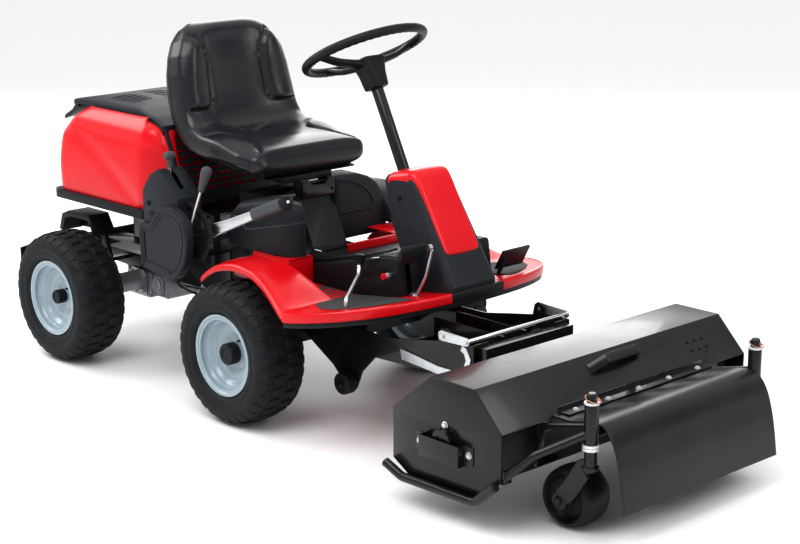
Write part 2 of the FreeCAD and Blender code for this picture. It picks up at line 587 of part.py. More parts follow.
def make_hood_tray():
    """The moulded skirt that the hood closes on, with its ties to the deck posts and hinge pins."""
    z1 = HOOD_Z0 - SEAT_GAP
    corner = (lambda e: along(e, 2) and e.BoundBox.XMax < 0)
    outer = filleted(box(-160, 330, -316, 316, z1 - 26, z1), 40, corner)
    inner = filleted(box(-138, 340, -294, 294, z1 - 30, z1 + 1), 30, corner)
    blower = cyl_z(175, 0, 124, 400, 600)
    tie = [box(x, x + 22, -296, 296, HOOD_Z0 - 22, HOOD_Z0 - 12).cut(blower) for x in (20, 300)]
    front = box(300, 446, -150, 150, HOOD_Z0 - 22, HOOD_Z0 - 16).cut(blower)
    hx, hz = HOOD_HINGE
    lug = box(hx - 8, -159, 196, 204, hz - 10, hz + 10)
    pin = cyl_y(hx, hz, 4, 176, 204)
    save("hood_tray", fuse(outer.cut(inner), *tie, front, lug, mirror_y(lug), pin, mirror_y(pin)))


HOOD_HINGE = (-172.0, 500.0)


def hood_profile(g=0.0):
    """The hood's side profile, pulled in by g for its hollow."""
    rear = [(-147 + g, HOOD_Z0), (-152 + g, 600), (-136 + g, 690), (-100 + g, 735 - g), (-60, 766 - g)]
    top = [(0, 787 - g), (60, 798 - g), (120, 800 - g), (230, 788 - g)]
    return rear + top + [(348 - g, 754 - g), (398 - g, 640), (402 - g, HOOD_Z0)]


def hood_solid(g=0.0):
    """The hood's outer form: sides that lean in at the top and draw in towards the seat."""
    w = HOOD_HALF_W - g
    solid = prism_y(hood_profile(g), -w, w)
    lean = [(w, 640), (w - 12, 735), (HOOD_TOP_HALF_W - g, 792), (HOOD_TOP_HALF_W - g, 850), (400, 850),
            (400, 640)]
    wedge = prism_x(lean, -200, 500)
    corner = ((300, w), (410, 250 - g), (410, 400), (300, 400), (300, w))
    draw = Part.Face(Part.makePolygon([V(x, y, 400) for x, y in corner]))
    draw = draw.extrude(V(0, 0, 500))
    return solid.cut(wedge).cut(mirror_y(wedge)).cut(draw).cut(mirror_y(draw))


def make_hood():
    """The red engine hood, and the black louvred cover that lies over its open top."""
    outer, inner = hood_solid(), hood_solid(SHEET)
    w = HOOD_TOP_HALF_W
    opening = box(-60, 500, -w + 34, w - 34, 560, 900)
    hx, hz = HOOD_HINGE
    ear = prism_y([(-150, 560), (-150, 530), (hx + 9, 516), (hx + 9, hz), (hx - 9, hz), (hx - 9, 514),
                   (-166, 560)], 180, 192)
    ear = ear.fuse(cyl_y(hx, hz, 9, 180, 192)).cut(cyl_y(hx, hz, 4 + RUN_CLEAR, 170, 200))
    save("hood_shell", fuse(outer.cut(inner).cut(opening), ear, mirror_y(ear)))

    line = [(-112, 797), (-40, 808), (60, 814), (140, 812), (230, 801), (351, 766)]
    cap = prism_y(strip(line, 60), -w, w)
    crown = prism_x([(-w, 700), (-w, 800), (-w / 2, 812), (0, 816), (w / 2, 812), (w, 800), (w, 700)],
                    -200, 500)
    hollow = prism_y([(-108, 700), (-108, 787), (-40, 803), (60, 809), (140, 807), (230, 796), (346, 763),
                      (346, 700)], -w + 5, w - 5)
    skin = cap.common(crown).cut(hollow).cut(hood_solid(-SEAT_GAP))
    spoiler = prism_y([(-205, 728), (-205, 742), (-120, 784), (-107, 790), (-107, 774), (-118, 764)],
                      -w, w).cut(hood_solid(-SEAT_GAP))
    top = fuse(skin, spoiler)
    for i in range(5):
        for y0, y1 in ((-190, -116), (-76, -2), (38, 112), (150, 200)):
            x = 16 + 28 * i
            top = top.cut(box(x, x + 9, y0, y1, 700, 900))
    save("hood_top", max(top.Solids, key=lambda s: s.Volume))


def make_seat():
    """A high-backed bucket seat pad, and the pressed pan that hinges it to its post."""
    side = [(404, 716), (640, 668), (742, 650), (766, 666), (770, 690), (752, 728), (640, 742), (480, 752),
            (448, 790), (432, 900),
            (412, 1000), (388, 1048), (352, 1062), (324, 1044), (318, 960), (326, 870), (348, 800),
            (374, 750)]
    w = SEAT_HALF_W
    pad = prism_y(side, -w, w)
    back = [(w, 780), (194, 900), (188, 960), (170, 1014), (130, 1050), (80, 1064), (400, 1070), (400, 780)]
    wedge = prism_x(back, 200, 900)
    save("seat_cushion", pad.cut(wedge).cut(mirror_y(wedge)))
    plate = prism_y([(410, 714.5), (640, 667.7), (742, 649.7), (742, 645.7), (640, 663.7), (410, 710.5)],
                    -170, 170)
    ear = prism_y([(716, 652), (738, 648), (756, 630), (756, 606), (732, 606), (716, 630)], 50, 55)
    ears = fuse(ear, mirror_y(ear)).cut(cyl_y(SEAT_HINGE[0], SEAT_HINGE[1], 6 + RUN_CLEAR, -100, 100))
    save("seat_pan", fuse(plate, ears))


# ---------------------------------------------------------------- levers and pedals
def make_levers():
    px, pz = LEVER_PIVOT
    y0, y1 = LEVER_Y - 3, LEVER_Y + 3
    a = math.radians(22.0)
    d = (math.cos(a), math.sin(a))
    n = (-d[1], d[0])

    def at(s, w):
        return (px + d[0] * s + n[0] * w, pz + d[1] * s + n[1] * w)
    arm = prism_y([at(-16, -16), at(60, -22), at(150, -16), at(290, -13), at(290, 13), at(150, 16),
                   at(60, 22), at(-16, 16)], y0, y1)
    arm = arm.fuse(cyl_y(px, pz, 22, y0, y1)).cut(cyl_y(px, pz, 10 + RUN_CLEAR, y0 - 1, y1 + 1))
    tang = prism_y([at(290, -10), at(418, -10), at(418, 10), at(290, 10)], y0, y1)
    grip = prism_y([at(292, -18), at(440, -18), at(440, 18), at(292, 18)], LEVER_Y - 17, LEVER_Y + 17)
    grip = filleted(grip, 9, lambda e: abs(e.BoundBox.YMax - e.BoundBox.YMin) < 1 and e.Length > 100)
    core = prism_y([at(280, -10.3), at(418.3, -10.3), at(418.3, 10.3), at(280, 10.3)], y0 - 0.3, y1 + 0.3)

    def along_grip(s0, s1, r):
        a0, a1 = at(s0, 0), at(s1, 0)
        return rod((a0[0], LEVER_Y, a0[1]), (a1[0], LEVER_Y, a1[1]), r)
    bore = along_grip(418.3, 445, 6 + RUN_CLEAR)
    button = along_grip(427, 452, 6)
    save("lift_lever_arm", fuse(arm, tang).removeSplitter())
    save("lift_lever_grip", grip.cut(core).cut(bore))
    save("lift_lever_button", button)

    y = HEIGHT_LEVER_Y
    u = V(0.43, 0, 0.90).normalize()
    base = V(px, y, pz)
    stalk = Part.makeCylinder(4, 196, base + u * 8, u)
    knob = Part.makeCone(10, 16, 46, base + u * 176, u).fuse(Part.makeSphere(16, base + u * 224))
    foot = cyl_y(px, pz, 15, y - 2.5, y + 2.5)
    lever = fuse(foot, stalk, knob)
    save("height_lever", lever.cut(cyl_y(px, pz, 8 + RUN_CLEAR, y - 5, y + 5)))

    tx, tz = THROTTLE_PIVOT
    y = THROTTLE_Y
    stem = box(tx - 5, tx + 5, y - 2, y + 2, tz, 678)
    boss = cyl_y(tx, tz, 12, y - 2, y + 2)
    knob = cyl_z(tx, y, 8, 672, 700).fuse(Part.makeSphere(14, V(tx, y, 704)))
    lever = fuse(stem, boss, knob)
    save("throttle_lever", lever.cut(cyl_y(tx, tz, 5 + RUN_CLEAR, y - 20, y + 20)))


def pedal_arm(foot, points):
    """A bent round-bar pedal arm that hangs on the cross pin under its slot in the floor."""
    x, y = foot
    z = floor_z(x) - PEDAL_DROP
    eye = cyl_y(x, z, 8.5, y - 8.5, y + 8.5)
    bar = bent_tube([(x, y, z)] + points, 6, 14) if len(points) > 1 else rod((x, y, z), points[0], 6)
    return fuse(bar, eye).cut(cyl_y(x, z, PEDAL_PIN_R + RUN_CLEAR, y - 20, y + 20))


def make_pedals():
    """Forward, reverse and brake pedals, and the parking lock button in the tunnel wall."""
    arm = pedal_arm(FORWARD_PEDAL, [(1378, -140, 551)])
    pad = prism_y([(1338, 548), (1351, 569), (1370, 561), (1374, 551), (1356, 508), (1346, 508)], -222, -138)
    save("forward_pedal", fuse(arm, pad))
    arm = pedal_arm(REVERSE_PEDAL, [(1252, -328, 424), (1190, -222, 466), (1176, -212, 494)])
    pad = Part.makeCone(19, 14, 26, V(1178, -214, 488), V(-0.25, 0.3, 0.9))
    save("reverse_pedal", fuse(arm, pad))
    arm = pedal_arm(BRAKE_PEDAL, [(1349, 182, 464)])
    pad = prism_y([(1324, 436), (1330, 433), (1360, 488), (1354, 491)], 168, 276)
    save("brake_pedal", fuse(arm, pad))
    save("parking_button", cyl_y(LOCK_X, LOCK_Z, 8.9, -TUNNEL_HALF_W - 16, -TUNNEL_HALF_W + 14))


# ---------------------------------------------------------------- implement carrier
def make_carrier():
    y0, y1 = CARRIER_Y, CARRIER_Y + CARRIER_T
    px, pz = CARRIER_PIVOT
    outline = [(876, 282), (1000, 292), (1277, 294), (1458, 326), (1464, 356), (1474, 364), (1490, 364),
               (1500, 356), (1505, 336), (1588, 338), (1588, 250),
               (1351, 231), (1214, 226), (1160, 172), (1136, 118), (1096, 118),
               (1040, 168), (913, 240), (876, 246)]
    pivot_hole = cyl_y(px, pz, CARRIER_PIN_R + RUN_CLEAR, 0, 300)
    latch_hole = cyl_y(LATCH_X, LATCH_Z, 5 + RUN_CLEAR, 0, 300)
    side = prism_y(outline, y0, y1).cut(pivot_hole).cut(latch_hole)
    side = side.cut(cyl_y(ROLLER_X, ROLLER_Z, 6, 0, 300))
    axle = cyl_y(ROLLER_X, ROLLER_Z, 6, y0, y1 + ROLLER_W + 6)
    head = cyl_y(ROLLER_X, ROLLER_Z, 10, y1 + ROLLER_W + 1, y1 + ROLLER_W + 6)
    tubes = [cyl_y(x, z, r, -y0, y0) for x, z, r in ((1300, 262, 16), (1440, 286, 16), (1552, 300, 14))]
    guide = box(1300, 1560, 40, 46, 240, 330)
    deck = box(1310, 1545, -120, -40, 246, 250)
    flange = box(1582, 1588, y0 - 50, y0, 250, 340)
    frame = fuse(side, mirror_y(side), axle, head, mirror_y(axle), mirror_y(head), *tubes, guide,
                 mirror_y(guide), deck, flange, mirror_y(flange))
    save("carrier_frame", frame)
    hook = prism_y([(1318, 276), (1323, 246), (1462, 236), (1530, 240), (1572, 262), (1582, 300),
                    (1566, 328), (1550, 334), (1544, 318),
                    (1558, 312), (1564, 296), (1556, 274), (1524, 258), (1460, 258)], y1 + 0.3, y1 + 4.3)
    save("lock_hooks", both(hook))
    arm = prism_y([(LATCH_X - 14, LATCH_Z), (LATCH_X - 10, LATCH_Z - 10), (LATCH_X, LATCH_Z - 14),
                   (LATCH_X + LATCH_REACH, LATCH_Z - 11),
                   (LATCH_X + LATCH_REACH + 10, LATCH_Z), (LATCH_X + LATCH_REACH, LATCH_Z + 13),
                   (LATCH_X, LATCH_Z + 14),
                   (LATCH_X - 10, LATCH_Z + 10)], y1 + 5, y1 + 9)
    pin = cyl_y(LATCH_X, LATCH_Z, 5, y0 - 4, y1 + 9)
    bar = cyl_y(LATCH_X + LATCH_REACH, LATCH_Z, 6, -y1 - 8, y1 + 8)
    save("latch_handle", fuse(arm, mirror_y(arm), pin, mirror_y(pin), bar))
    for name, side_sign in (("right", -1), ("left", 1)):
        y = y1 + 0.5
        roller = cyl_y(ROLLER_X, ROLLER_Z, ROLLER_R, y, y + ROLLER_W)
        roller = filleted(roller, 7, lambda e: isinstance(e.Curve, Part.Circle))
        roller = roller.cut(cyl_y(ROLLER_X, ROLLER_Z, 6 + RUN_CLEAR, 0, 400))
        save(f"{name}_roller", roller if side_sign > 0 else mirror_y(roller))


# ---------------------------------------------------------------- sweeper head
SHELL_LINE = [(1592, 118), (1592, 245), (1725, 354), (1870, 354), (1960, 261)]
PLATE_LINE = SHELL_LINE[1:] + [(1960, 142), (1892, 82), (1647, 80), (1592, 112)]


def make_sweeper_shell():
    inner = SWEEP_HALF_W - PLATE_T
    skin = prism_y(strip(SHELL_LINE, SHELL_T), -inner, inner)
    apron = box(1953, 1956, -352, 352, 150, 264)
    straps = [box(1956, 1962, y, y + 24, 150, 262) for y in (-352, -12, 328)]
    ledge = box(1953, 2002, -286, 286, 262, FLAP_START_Z - FLAP_T - SEAT_GAP)
    tube = box(1588 + SEAT_GAP, 1618, -170, 170, 296, 332)
    gussets = [prism_y([(1600, 246), (1618, 260), (1618, 300), (1600, 300)], y, y + 6) for y in (-156, -3, 150)]
    save("housing_shell", fuse(skin, apron, ledge, tube, *straps, *gussets))
    side = prism_y(PLATE_LINE, inner, SWEEP_HALF_W).cut(cyl_y(ROTOR_X, ROTOR_Z, 31, 0, 600))
    save("side_plates", both(side))
    path = [(1577, 98), (1636, 75), (1887, 77), (1954, 135)]
    y = SWEEP_HALF_W + SKID_R + SEAT_GAP
    save("skids", both(bent_tube([(x, y, z) for x, z in path], SKID_R, 30)))


def make_bearings():
    """A flanged bearing and its folded cover plate on each side plate."""
    y = SWEEP_HALF_W
    ring = cyl_y(ROTOR_X, ROTOR_Z, 30.5, y - PLATE_T,
                 y + 16).cut(cyl_y(ROTOR_X, ROTOR_Z, ROTOR_SHAFT_R + RUN_CLEAR, 0, 600))
    web = box(1710, 1840, y + 22, y + 25, 154, 208)
    legs = [box(1707, 1710, y, y + 25, 154, 208), box(1840, 1843, y, y + 25, 154, 208)]
    feet = [box(1676, 1710, y, y + 3, 160, 206), box(1840, 1872, y, y + 3, 160, 206)]
    cover = fuse(web, *legs, *feet)
    save("bearing_covers", Part.makeCompound([ring, cover, mirror_y(ring), mirror_y(cover)]))


def make_rotor():
    inner = SWEEP_HALF_W - PLATE_T
    shaft = cyl_y(ROTOR_X, ROTOR_Z, ROTOR_SHAFT_R, -SWEEP_HALF_W - 14, SWEEP_HALF_W + 14)
    tube = cyl_y(ROTOR_X, ROTOR_Z, CORE_R, -inner + 12, inner - 12)
    save("rotor_shaft", fuse(shaft, tube))
    brush = cyl_y(ROTOR_X, ROTOR_Z, BRUSH_R, -inner + 14,
                  inner - 14).cut(cyl_y(ROTOR_X, ROTOR_Z, CORE_R + SEAT_GAP, -600, 600))
    save("rotor_brush", brush)


def make_caster_frame():
    """Sockets for the caster stems, carried on bent tubes from the side plates and the housing."""
    y = STEM_Y
    inner = SWEEP_HALF_W - PLATE_T
    socket = cyl_z(STEM_X, y, SOCKET_R, SOCKET_Z0, SOCKET_Z1)
    lower = bent_tube([(1962, 462, 154), (2010, 420, 210), (STEM_X, y, 268)], 11, 60)
    foot = box(1956, 1966, 446, inner - SEAT_GAP, 138, 170)
    tie = box(1940, 1960, inner - 10, inner - SEAT_GAP, 142, 166)
    upper = rod((1966, y, 250), (STEM_X, y, 284), 8)
    pad = box(1962 + SEAT_GAP, 1968, y - 14, y + 14, 236, 262)
    cross = rod((STEM_X + 2, -y, 262), (STEM_X + 2, y, 262), 10)
    bore = cyl_z(STEM_X, y, STEM_R + RUN_CLEAR, 200, 400)
    half = fuse(socket, lower, foot, tie, upper, pad)
    frame = fuse(half, mirror_y(half), cross).cut(bore).cut(mirror_y(bore))
    save("caster_frame", frame)


def flap_line():
    """The flap's upper face: along the ledge, over the cross tube and down to its foot."""
    curve = Part.BSplineCurve()
    z = FLAP_START_Z
    pts = [(1964, z), (1984, z), (2004, z + 0.8), (2050, z + 8), (2096, z + 14), (2132, 278), (2158, 246),
           (2176, 196),
           (2188, 140), (FLAP_FOOT_X, FLAP_FOOT_Z)]
    curve.interpolate([V(x, 0, h) for x, h in pts])
    return curve


def make_flap():
    line = flap_line()
    outer = line.toShape()
    ends = [line.value(line.FirstParameter), line.value(line.LastParameter)]
    inner_curve = Part.BSplineCurve()
    shifted = []
    for i in range(13):
        t = line.FirstParameter + (line.LastParameter - line.FirstParameter) * i / 12
        tangent = V(*line.tangent(t)[0])
        shifted.append(line.value(t) + V(-tangent.z, 0, tangent.x) * -FLAP_T)
    inner_curve.interpolate(shifted)
    inner = inner_curve.toShape()
    caps = [Part.LineSegment(ends[1], shifted[-1]).toShape(), Part.LineSegment(shifted[0], ends[0]).toShape()]
    face = Part.Face(Part.Wire(Part.__sortEdges__([outer, caps[0], inner, caps[1]])))
    sheet = face.extrude(V(0, 2 * FLAP_HALF_W, 0))
    sheet.translate(V(0, -FLAP_HALF_W, 0))
    cross = rod((STEM_X + 2, -STEM_Y, 262), (STEM_X + 2, STEM_Y, 262), 10 + SEAT_GAP)
    save("rubber_flap", sheet.cut(cross))
    z = FLAP_START_Z + SEAT_GAP
    rail = prism_y([(1962, z + 14), (1962, z), (2000, z + 1), (2000, z + 4), (1965, z + 3),
                    (1965, z + 14)], -282, 282)
    save("flap_rail", rail)
    bolts = []
    for i in range(5):
        bolts.append(cyl_z(1984, -240 + 120 * i, 6, z + 3, z + 9).cut(rail))
    for side in (-1, 1):
        for x, h in ((1692, 183), (1858, 186), (ROTOR_X, 241.5)):
            y = side * (SWEEP_HALF_W + (3 if h < 200 else 0))
            bolts.append(Part.makeCylinder(7, 6, V(x, y, h), V(0, side, 0)))
    save("sweeper_bolts", Part.makeCompound(bolts))


def make_carry_handle():
    """A bolted box-section grip on the housing's front slope."""
    slope = math.atan2(354 - 261, 1960 - 1870)
    u = V(math.cos(slope), 0, -math.sin(slope))
    n = V(math.sin(slope), 0, math.cos(slope))
    base = V(1888, 0, 354 - (1888 - 1870) * math.tan(slope))
    pts = [(-94, 0), (-58, 44), (58, 44), (94, 0), (78, 0), (50, 34), (-50, 34), (-78, 0)]
    poly = [base + V(0, y, 0) + n * (h + SEAT_GAP) for y, h in pts]
    face = Part.Face(Part.makePolygon(poly + poly[:1]))
    save("carry_handle", face.extrude(u * 26))


def make_caster(name, side):
    """Right-hand geometry, mirrored for the left: stem, one-armed fork, axle and wheel."""
    sx, sy = STEM_X, -STEM_Y
    wx, wy, wz = sx - CASTER_TRAIL, sy + CASTER_INSET, CASTER_R
    arm_y = wy - CASTER_W / 2 - 14
    stem = cyl_z(sx, sy, STEM_R, 176, 366)
    stack = cyl_z(sx, sy, STEM_R + 8.5, 224, SOCKET_Z0 - 0.5).fuse(cyl_z(sx, sy, STEM_R + 3.5, 186, 224))
    washer = cyl_z(sx, sy, STEM_R + 6.5, SOCKET_Z1 + 0.5, SOCKET_Z1 + 5)
    linch = Part.makeTorus(STEM_R + 4.5, 1.6, V(sx, sy, 351), V(0.25, 0, 1))
    reach = STEM_R + 9.5
    linch = linch.fuse(rod((sx - reach, sy, 351), (sx + reach, sy, 351), 2.5))
    slab = prism_y([(sx - 26, 176), (sx + 24, 176), (sx + 24, 186), (sx - 26, 186)], arm_y, sy + 24)
    blade = prism_y([(sx - 26, 186), (sx + 24, 186), (wx + 24, wz - 6), (wx + 14, wz - 22),
                     (wx - 14, wz - 22), (wx - 24, wz)], arm_y, arm_y + 8)
    axle = cyl_y(wx, wz, 8, arm_y - 4, wy + CASTER_W / 2 + 2)
    nut = cyl_y(wx, wz, 13, arm_y - 8, arm_y)
    retainer = cyl_y(wx, wz, 13, wy + CASTER_W / 2 - 30, wy + CASTER_W / 2 - 24)
    fork = fuse(stem, stack, washer, linch, slab, blade, axle, nut, retainer)
    h = CASTER_W / 2
    tread = [(8 + RUN_CLEAR, -h + 14), (20, -h + 14), (20, -h + 26), (54, -h + 26), (60, -h), (68, -h + 4),
             (75, -h + 24), (CASTER_R, -h + 42),
             (CASTER_R, h - 42), (75, h - 24), (68, h - 4), (60, h), (54, h - 26), (20, h - 26),
             (20, h - 32), (8 + RUN_CLEAR, h - 32)]
    wheel = turned_y(tread, wx, wz)
    wheel.translate(V(0, wy, 0))
    if side > 0:
        fork, wheel = mirror_y(fork), mirror_y(wheel)
    save(f"{name}_caster_fork", fork)
    save(f"{name}_caster_wheel", wheel)


make_wheels()
make_front_axle()
make_main_frame()
make_rear_carriage()
make_engine()
make_footplate()
make_tunnel()
make_seat_post()
make_console()
make_steering()
make_side_covers()
make_lever_console()
make_quadrant()
make_hood_tray()
make_hood()
make_seat()
make_levers()
make_pedals()
make_carrier()
make_sweeper_shell()
make_bearings()
make_rotor()
make_caster_frame()
make_flap()
make_carry_handle()
make_caster("right", -1)
make_caster("left", 1)
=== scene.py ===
"""Looks of the ride-on lawn sweeper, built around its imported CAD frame.

Lengths below are millimetres at stations measured from the rear axle, as in the CAD source;
at() turns them into the row frame, in metres.
"""
import json
import math

import bmesh
import bpy
import numpy as np
from mathutils import Matrix, Vector

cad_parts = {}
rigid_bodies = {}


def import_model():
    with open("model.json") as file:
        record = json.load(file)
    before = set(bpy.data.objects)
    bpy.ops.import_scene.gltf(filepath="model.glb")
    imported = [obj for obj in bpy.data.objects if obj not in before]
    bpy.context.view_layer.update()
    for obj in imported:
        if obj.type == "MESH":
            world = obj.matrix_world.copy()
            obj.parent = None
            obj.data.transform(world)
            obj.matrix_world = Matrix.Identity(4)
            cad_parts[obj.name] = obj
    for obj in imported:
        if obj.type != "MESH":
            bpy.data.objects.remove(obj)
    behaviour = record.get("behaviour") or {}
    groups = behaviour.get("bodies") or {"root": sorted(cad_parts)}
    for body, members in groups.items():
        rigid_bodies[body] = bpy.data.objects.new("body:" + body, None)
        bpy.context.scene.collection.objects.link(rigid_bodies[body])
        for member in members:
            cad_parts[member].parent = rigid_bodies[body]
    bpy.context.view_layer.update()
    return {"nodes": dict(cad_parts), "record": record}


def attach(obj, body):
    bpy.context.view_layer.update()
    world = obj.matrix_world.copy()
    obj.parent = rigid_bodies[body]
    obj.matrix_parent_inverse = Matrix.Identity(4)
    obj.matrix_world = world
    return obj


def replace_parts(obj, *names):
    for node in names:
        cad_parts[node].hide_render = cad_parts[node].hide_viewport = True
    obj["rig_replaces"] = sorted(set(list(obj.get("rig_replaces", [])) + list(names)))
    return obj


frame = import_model()

ORIGIN = 952.5
MM = 0.001
SHARP = math.radians(32)
HOME = Vector((-ORIGIN * MM, 0, 0))     # the station origin, about which wheels and turned pieces are made
LEAST = 0.01                            # radius at which a turned profile closes on its axis


def at(x, y, z):
    return Vector(((x - ORIGIN) * MM, y * MM, z * MM))


def graph(x, xs, ys):
    """The height at x of the broken line through (xs, ys)."""
    return float(np.interp(x, xs, ys))


def smooth_step(t):
    t = min(1.0, max(0.0, t))
    return t * t * (3 - 2 * t)


def rounding(t):
    """A quarter circle's height at share t: 0 at t = 0, 1 from t = 1 on."""
    return math.sqrt(max(0.0, 1 - (1 - min(1.0, t)) ** 2))


# ---------------------------------------------------------------- materials
def socket(node, name):
    return next(s for s in node.inputs if s.name == name and s.enabled)


GRAIN_DEPTH = 0.0004
COAT_ROUGH = 0.08
ROUGH_VARY = 0.06
GRAIN_SHARE = 0.35                      # how much of the roughness follows the grain


def material(name, color, rough, metallic=0.0, coat=0.0, vary=0.12, broad=9.0, grain=900.0, bump=0.05,
             cells=False, spec=0.5, streak=None):
    """A Principled surface: a broad drift in its colour and roughness, a fine grain in roughness and bump."""
    m = bpy.data.materials.new(name)
    m.use_nodes = True
    nodes, links = m.node_tree.nodes, m.node_tree.links
    shader = nodes["Principled BSDF"]
    socket(shader, "Metallic").default_value = metallic
    socket(shader, "Coat Weight").default_value = coat
    socket(shader, "Coat Roughness").default_value = COAT_ROUGH
    socket(shader, "Specular IOR Level").default_value = spec
    place = nodes.new("ShaderNodeTexCoord")
    where = place.outputs["Object"]
    if streak:
        stretch = nodes.new("ShaderNodeMapping")
        stretch.inputs["Scale"].default_value = streak
        links.new(where, stretch.inputs["Vector"])
        where = stretch.outputs["Vector"]
    drift = nodes.new("ShaderNodeTexNoise")
    drift.inputs["Scale"].default_value = broad
    drift.inputs["Detail"].default_value = 5.0
    links.new(place.outputs["Object"], drift.inputs["Vector"])
    ramp = nodes.new("ShaderNodeValToRGB")
    low = [c * (1 - vary) for c in color]
    high = [min(1.0, c * (1 + vary) + vary * 0.012) for c in color]
    ramp.color_ramp.elements[0].position = 0.3
    ramp.color_ramp.elements[1].position = 0.7
    ramp.color_ramp.elements[0].color = (*low, 1)
    ramp.color_ramp.elements[1].color = (*high, 1)
    links.new(drift.outputs["Fac"], ramp.inputs["Fac"])
    links.new(ramp.outputs["Color"], shader.inputs["Base Color"])
    fine = nodes.new("ShaderNodeTexVoronoi" if cells else "ShaderNodeTexNoise")
    fine.inputs["Scale"].default_value = grain
    links.new(where, fine.inputs["Vector"])
    signal = fine.outputs["Distance"] if cells else fine.outputs["Fac"]
    spread = nodes.new("ShaderNodeMapRange")
    spread.inputs["To Min"].default_value = max(0.02, rough - ROUGH_VARY)
    spread.inputs["To Max"].default_value = min(1.0, rough + ROUGH_VARY)
    mixed = nodes.new("ShaderNodeMath")
    mixed.operation = "MULTIPLY_ADD"
    mixed.inputs[1].default_value = GRAIN_SHARE
    links.new(signal, mixed.inputs[0])
    links.new(drift.outputs["Fac"], mixed.inputs[2])
    links.new(mixed.outputs["Value"], spread.inputs["Value"])
    links.new(spread.outputs["Result"], shader.inputs["Roughness"])
    relief = nodes.new("ShaderNodeBump")
    relief.inputs["Strength"].default_value = bump
    relief.inputs["Distance"].default_value = GRAIN_DEPTH
    links.new(signal, relief.inputs["Height"])
    links.new(relief.outputs["Normal"], shader.inputs["Normal"])
    return m


MATERIALS = {
    "red_paint": material("RedPaint", (0.60, 0.0020, 0.008), 0.24, spec=0.34, coat=0.14, vary=0.05, grain=420,
                          bump=0.06),
    "red_plastic": material("RedPlastic", (0.62, 0.0020, 0.009), 0.22, spec=0.34, coat=0.14, vary=0.04,
                            grain=300, bump=0.05),
    "black_paint": material("BlackPaint", (0.0050, 0.0054, 0.0064), 0.24, coat=0.25, grain=650, bump=0.09,
                            spec=0.35),
    "frame_paint": material("FramePaint", (0.0055, 0.0060, 0.0072), 0.36, coat=0.05, grain=520, bump=0.12,
                            spec=0.28),
    "grey_plastic": material("GreyPlastic", (0.0120, 0.0150, 0.0195), 0.46, grain=1900, bump=0.22, cells=True,
                             spec=0.30),
    "black_plastic": material("BlackPlastic", (0.0072, 0.0080, 0.0100), 0.42, grain=1700, bump=0.2,
                              cells=True, spec=0.26),
    "seat_vinyl": material("SeatVinyl", (0.0078, 0.0098, 0.0128), 0.25, grain=1100, bump=0.12, cells=True,
                           vary=0.1),
    "tyre_rubber": material("TyreRubber", (0.0085, 0.0102, 0.0128), 0.58, grain=700, bump=0.25, vary=0.3,
                            broad=30, spec=0.28),
    "rubber": material("Rubber", (0.0075, 0.009, 0.011), 0.27, grain=350, bump=0.08, vary=0.2, spec=0.40),
    "grip_rubber": material("GripRubber", (0.058, 0.064, 0.070), 0.62, grain=1500, bump=0.3, cells=True),
    "rim_paint": material("RimPaint", (0.30, 0.375, 0.42), 0.24, coat=0.4, vary=0.04, grain=500),
    "bright_steel": material("BrightSteel", (0.60, 0.61, 0.62), 0.30, metallic=1.0, grain=260, bump=0.12,
                             streak=(0.4, 6, 6)),
    "zinc": material("Zinc", (0.66, 0.69, 0.71), 0.34, metallic=0.85, grain=180, bump=0.1, vary=0.1, broad=60),
    "chrome_bar": material("ChromeBar", (0.80, 0.80, 0.81), 0.14, metallic=1.0, grain=300, bump=0.03),
    "cast_alloy": material("CastAlloy", (0.42, 0.43, 0.45), 0.46, metallic=0.8, grain=330, bump=0.45,
                           vary=0.15),
    "bristle": material("Bristle", (0.020, 0.021, 0.023), 0.7, grain=240, bump=0.8, streak=(9, 1, 9)),
    "copper": material("CopperPin", (0.62, 0.33, 0.22), 0.28, metallic=1.0, grain=300),
    "mat": material("FloorMat", (0.040, 0.042, 0.044), 0.75, grain=420, bump=0.6, cells=True),
    "washer": material("WhiteWasher", (0.72, 0.73, 0.74), 0.4, metallic=0.3, grain=400, bump=0.08),
}


# ---------------------------------------------------------------- mesh helpers
def place(name, mesh, body, slot, look=None, replaces=(), sharp=SHARP):
    mesh.name = name
    mesh.shade_smooth()
    mesh.set_sharp_from_angle(angle=sharp)
    mesh.materials.clear()
    mesh.materials.append(MATERIALS[look or slot])
    o = bpy.data.objects.new(name, mesh)
    bpy.context.scene.collection.objects.link(o)
    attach(o, body)
    if replaces:
        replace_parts(o, *replaces)
    return o


def mesh_of(points, faces):
    """A mesh from (x, y, z) station points in millimetres."""
    mesh = bpy.data.meshes.new("part")
    mesh.from_pydata([at(*p) for p in points], [], faces)
    tidy(mesh)
    return mesh


def tidy(mesh, bevel=0.0, segments=2, merge=0.00001, flatten=False):
    """Welds a mesh, turns its faces outward and rounds its sharp edges by bevel metres."""
    bm = bmesh.new()
    bm.from_mesh(mesh)
    bmesh.ops.remove_doubles(bm, verts=bm.verts, dist=merge)
    if flatten:
        bmesh.ops.dissolve_limit(bm, angle_limit=math.radians(0.6), verts=bm.verts, edges=bm.edges)
    bmesh.ops.recalc_face_normals(bm, faces=bm.faces)
    if bevel:
        edges = [e for e in bm.edges if len(e.link_faces) == 2 and e.calc_face_angle(0) > SHARP]
        bmesh.ops.bevel(bm, geom=edges, offset=bevel, segments=segments, profile=0.6, affect="EDGES",
                        clamp_overlap=True, loop_slide=True)
        bmesh.ops.recalc_face_normals(bm, faces=bm.faces)
    bm.to_mesh(mesh)
    bm.free()


def join(meshes):
    """Several meshes as one."""
    bm = bmesh.new()
    for mesh in meshes:
        bm.from_mesh(mesh)
    whole = bpy.data.meshes.new("part")
    bm.to_mesh(whole)
    bm.free()
    return whole


def mirrored(mesh):
    twin = mesh.copy()
    twin.transform(Matrix.Diagonal((1, -1, 1, 1)))
    twin.flip_normals()
    return twin


